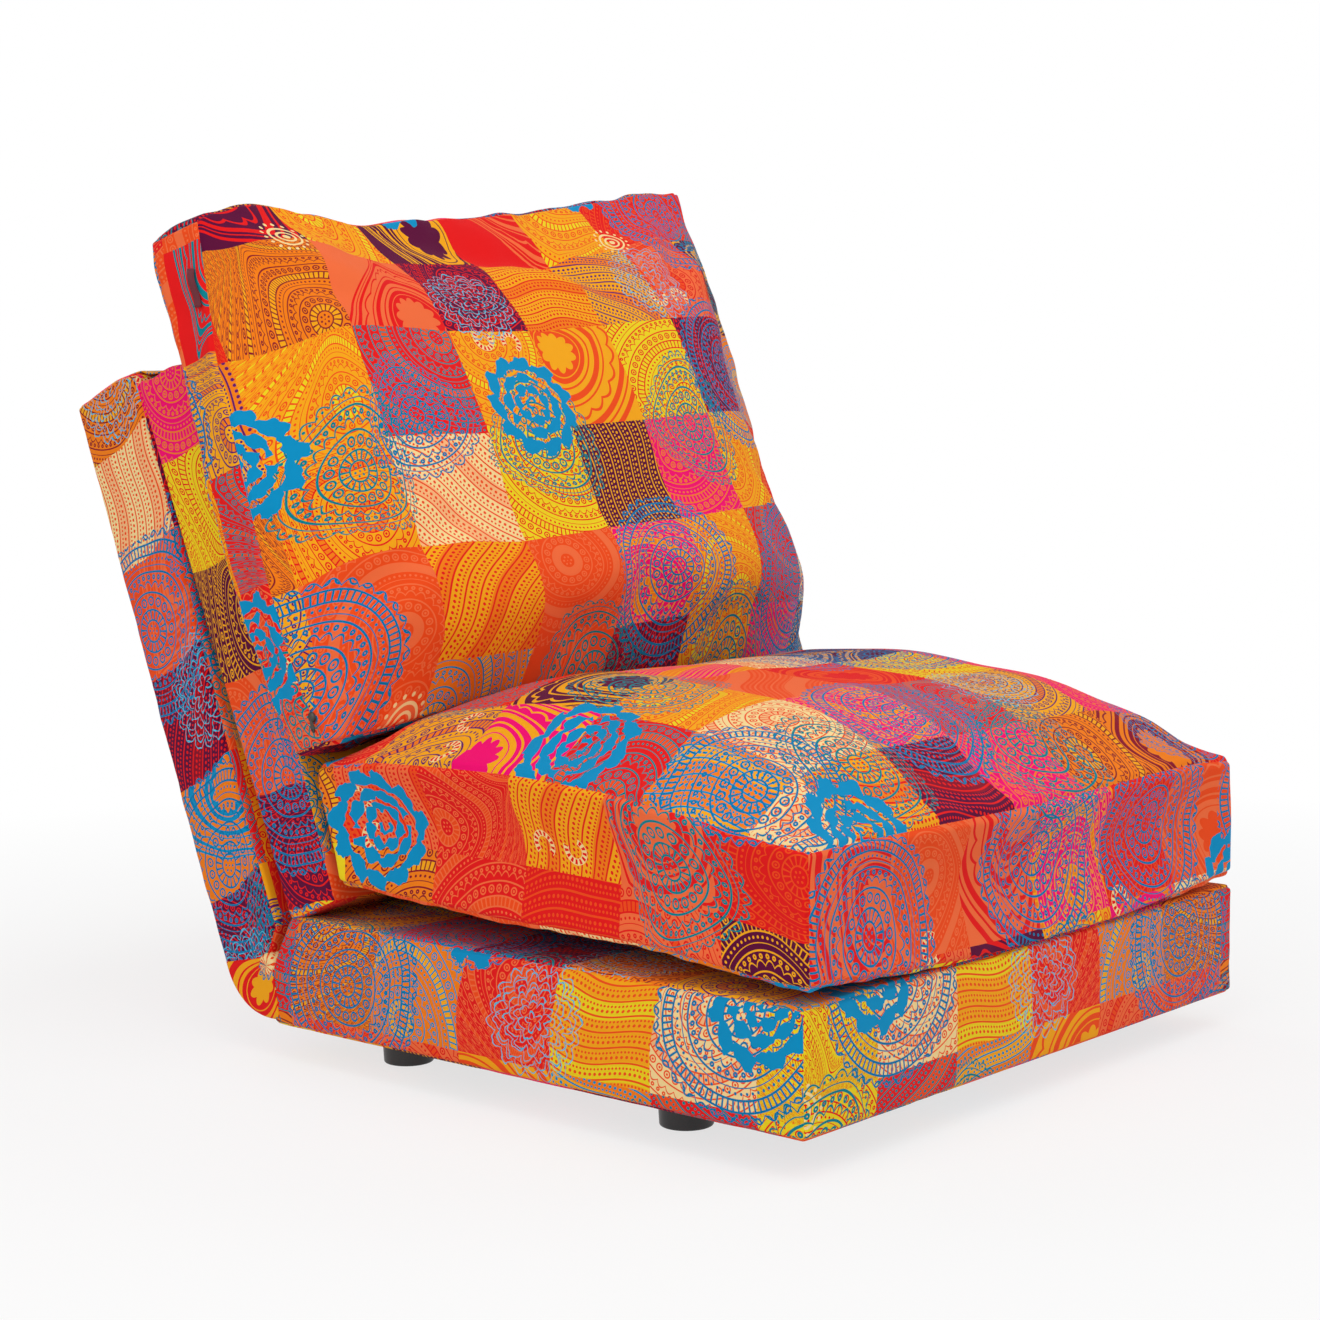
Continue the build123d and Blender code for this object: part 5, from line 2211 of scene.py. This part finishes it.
@dataclass(frozen=True)
class Studio:
    """Camera, floor and soft lights."""

    camera_place: Triple = (-1.894, -1.677, 0.604)
    forward: Triple = (0.747, 0.659, -0.091)
    roll: float = -0.0123
    lens: float = 68.18
    floor_reach: float = 30.0
    floor_white: float = 0.72
    shadow_reach: float = 0.7
    shadow_fade: float = 1.1
    world_light: float = 0.40
    aim: Triple = (0.0, 0.0, 0.35)

    def camera(self) -> None:
        """Place the camera at the photograph's viewing angle."""
        data = bpy.data.cameras.new("camera")
        data.lens = self.lens
        data.sensor_width = 36.0
        data.sensor_fit = "HORIZONTAL"
        camera = add_object("camera", data)
        turn = Vector(self.forward).to_track_quat("-Z", "Y").to_matrix()
        camera.matrix_world = Matrix.Translation(self.camera_place) @ (
            turn @ Matrix.Rotation(self.roll, 3, "Z")).to_4x4()
        bpy.context.scene.camera = camera

    def floor(self) -> None:
        """Lay a pale floor that looks white to the camera and keeps the chair's shadow."""
        corners = np.array([(-1, -1, 0), (1, -1, 0), (1, 1, 0), (-1, 1, 0)]) * self.floor_reach
        floor = new_piece("floor", corners, [[0, 1, 2, 3]])
        material, tree, shader = new_material("pale floor")
        shader.inputs["Base Color"].default_value = (0.9, 0.9, 0.9, 1.0)
        shader.inputs["Roughness"].default_value = 0.9
        shader.inputs["Specular IOR Level"].default_value = 0.1
        white = tree.nodes.new("ShaderNodeEmission")
        white.inputs["Strength"].default_value = 1.0
        mix = tree.nodes.new("ShaderNodeMixShader")
        place = tree.nodes.new("ShaderNodeTexCoord")
        away = Polar.of(*vector_parts(tree, place.outputs["Object"])[:2]).radius
        far = ((away - self.shadow_reach) / self.shadow_fade).math("MAXIMUM", 0.0).math("MINIMUM", 1.0)
        bare = far * (1 - self.floor_white) + self.floor_white
        tree.links.new((self.seen(tree) * bare).socket, mix.inputs[0])
        tree.links.new(shader.outputs[0], mix.inputs[1])
        tree.links.new(white.outputs[0], mix.inputs[2])
        tree.links.new(mix.outputs[0], tree.nodes["Material Output"].inputs["Surface"])
        floor.data.materials.append(material)

    @staticmethod
    def seen(tree: bpy.types.NodeTree) -> Field:
        """Mask of the rays that come from the camera or through gloss or glass.

        Args:
            tree: the shader tree.

        Returns:
            The mask.
        """
        path = tree.nodes.new("ShaderNodeLightPath")
        camera, gloss, glass = (Field(tree, path.outputs[f"Is {name} Ray"])
                                for name in ("Camera", "Glossy", "Transmission"))
        return camera.either(gloss).either(glass)

    def lights(self) -> None:
        """Hang broad soft lights round the chair and light the world."""
        lamps = (("key", (-0.7, -1.3, 3.2), 47.0, 3.0), ("fill", (2.8, -2.2, 1.6), 22.0, 2.4),
                 ("side", (-3.0, -0.6, 1.6), 22.0, 2.4), ("rear", (0.4, 3.0, 2.8), 22.0, 2.4))
        for name, place, power, size in lamps:
            data = bpy.data.lights.new(name, "AREA")
            data.energy = power
            data.size = size
            lamp = add_object(name, data)
            lamp.location = place
            toward = Vector(self.aim) - Vector(place)
            lamp.rotation_euler = toward.to_track_quat("-Z", "Y").to_euler()
        world = bpy.data.worlds.new("studio")
        bpy.context.scene.world = world
        world.use_nodes = True
        tree = world.node_tree
        soft = tree.nodes["Background"]
        soft.inputs["Color"].default_value = (1, 1, 1, 1)
        soft.inputs["Strength"].default_value = self.world_light
        white = tree.nodes.new("ShaderNodeBackground")
        white.inputs["Color"].default_value = (1, 1, 1, 1)
        white.inputs["Strength"].default_value = 1.0
        mix = tree.nodes.new("ShaderNodeMixShader")
        tree.links.new(self.seen(tree).socket, mix.inputs[0])
        tree.links.new(soft.outputs[0], mix.inputs[1])
        tree.links.new(white.outputs[0], mix.inputs[2])
        tree.links.new(mix.outputs[0], tree.nodes["World Output"].inputs["Surface"])
        bpy.context.scene.view_settings.view_transform = "Standard"


def main() -> None:
    """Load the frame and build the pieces."""
    logging.basicConfig(level=logging.INFO, format="%(name)s %(message)s")
    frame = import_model()
    studio = Studio()
    studio.camera()
    studio.floor()
    studio.lights()
    printed = PrintCloth()
    printed.build()
    cloth = ClothFinish().material(printed)
    for section in SECTIONS:
        section.build(cloth)
    for cushion in CUSHIONS:
        cushion.build(cloth)
    HingeWedge().build(cloth)
    grain = Grain()
    finishes = {key: finish.material(grain) for key, finish in FINISHES.items()}
    dress_hardware(frame, finishes)
    for fastening in ZIPS:
        fastening.build(finishes["zip_tape"], finishes["zip_metal"])
    for pull in PULLERS:
        pull.build(finishes["zip_metal"])
    SewnTab().build(finishes["tab_cloth"])
    FoldWeb("top_web", "fold_web", ("back_section", "head_section"), top_path(), 0.336,
            (1.3, 6.1)).build(cloth)


if __name__ == "__main__":
    main()
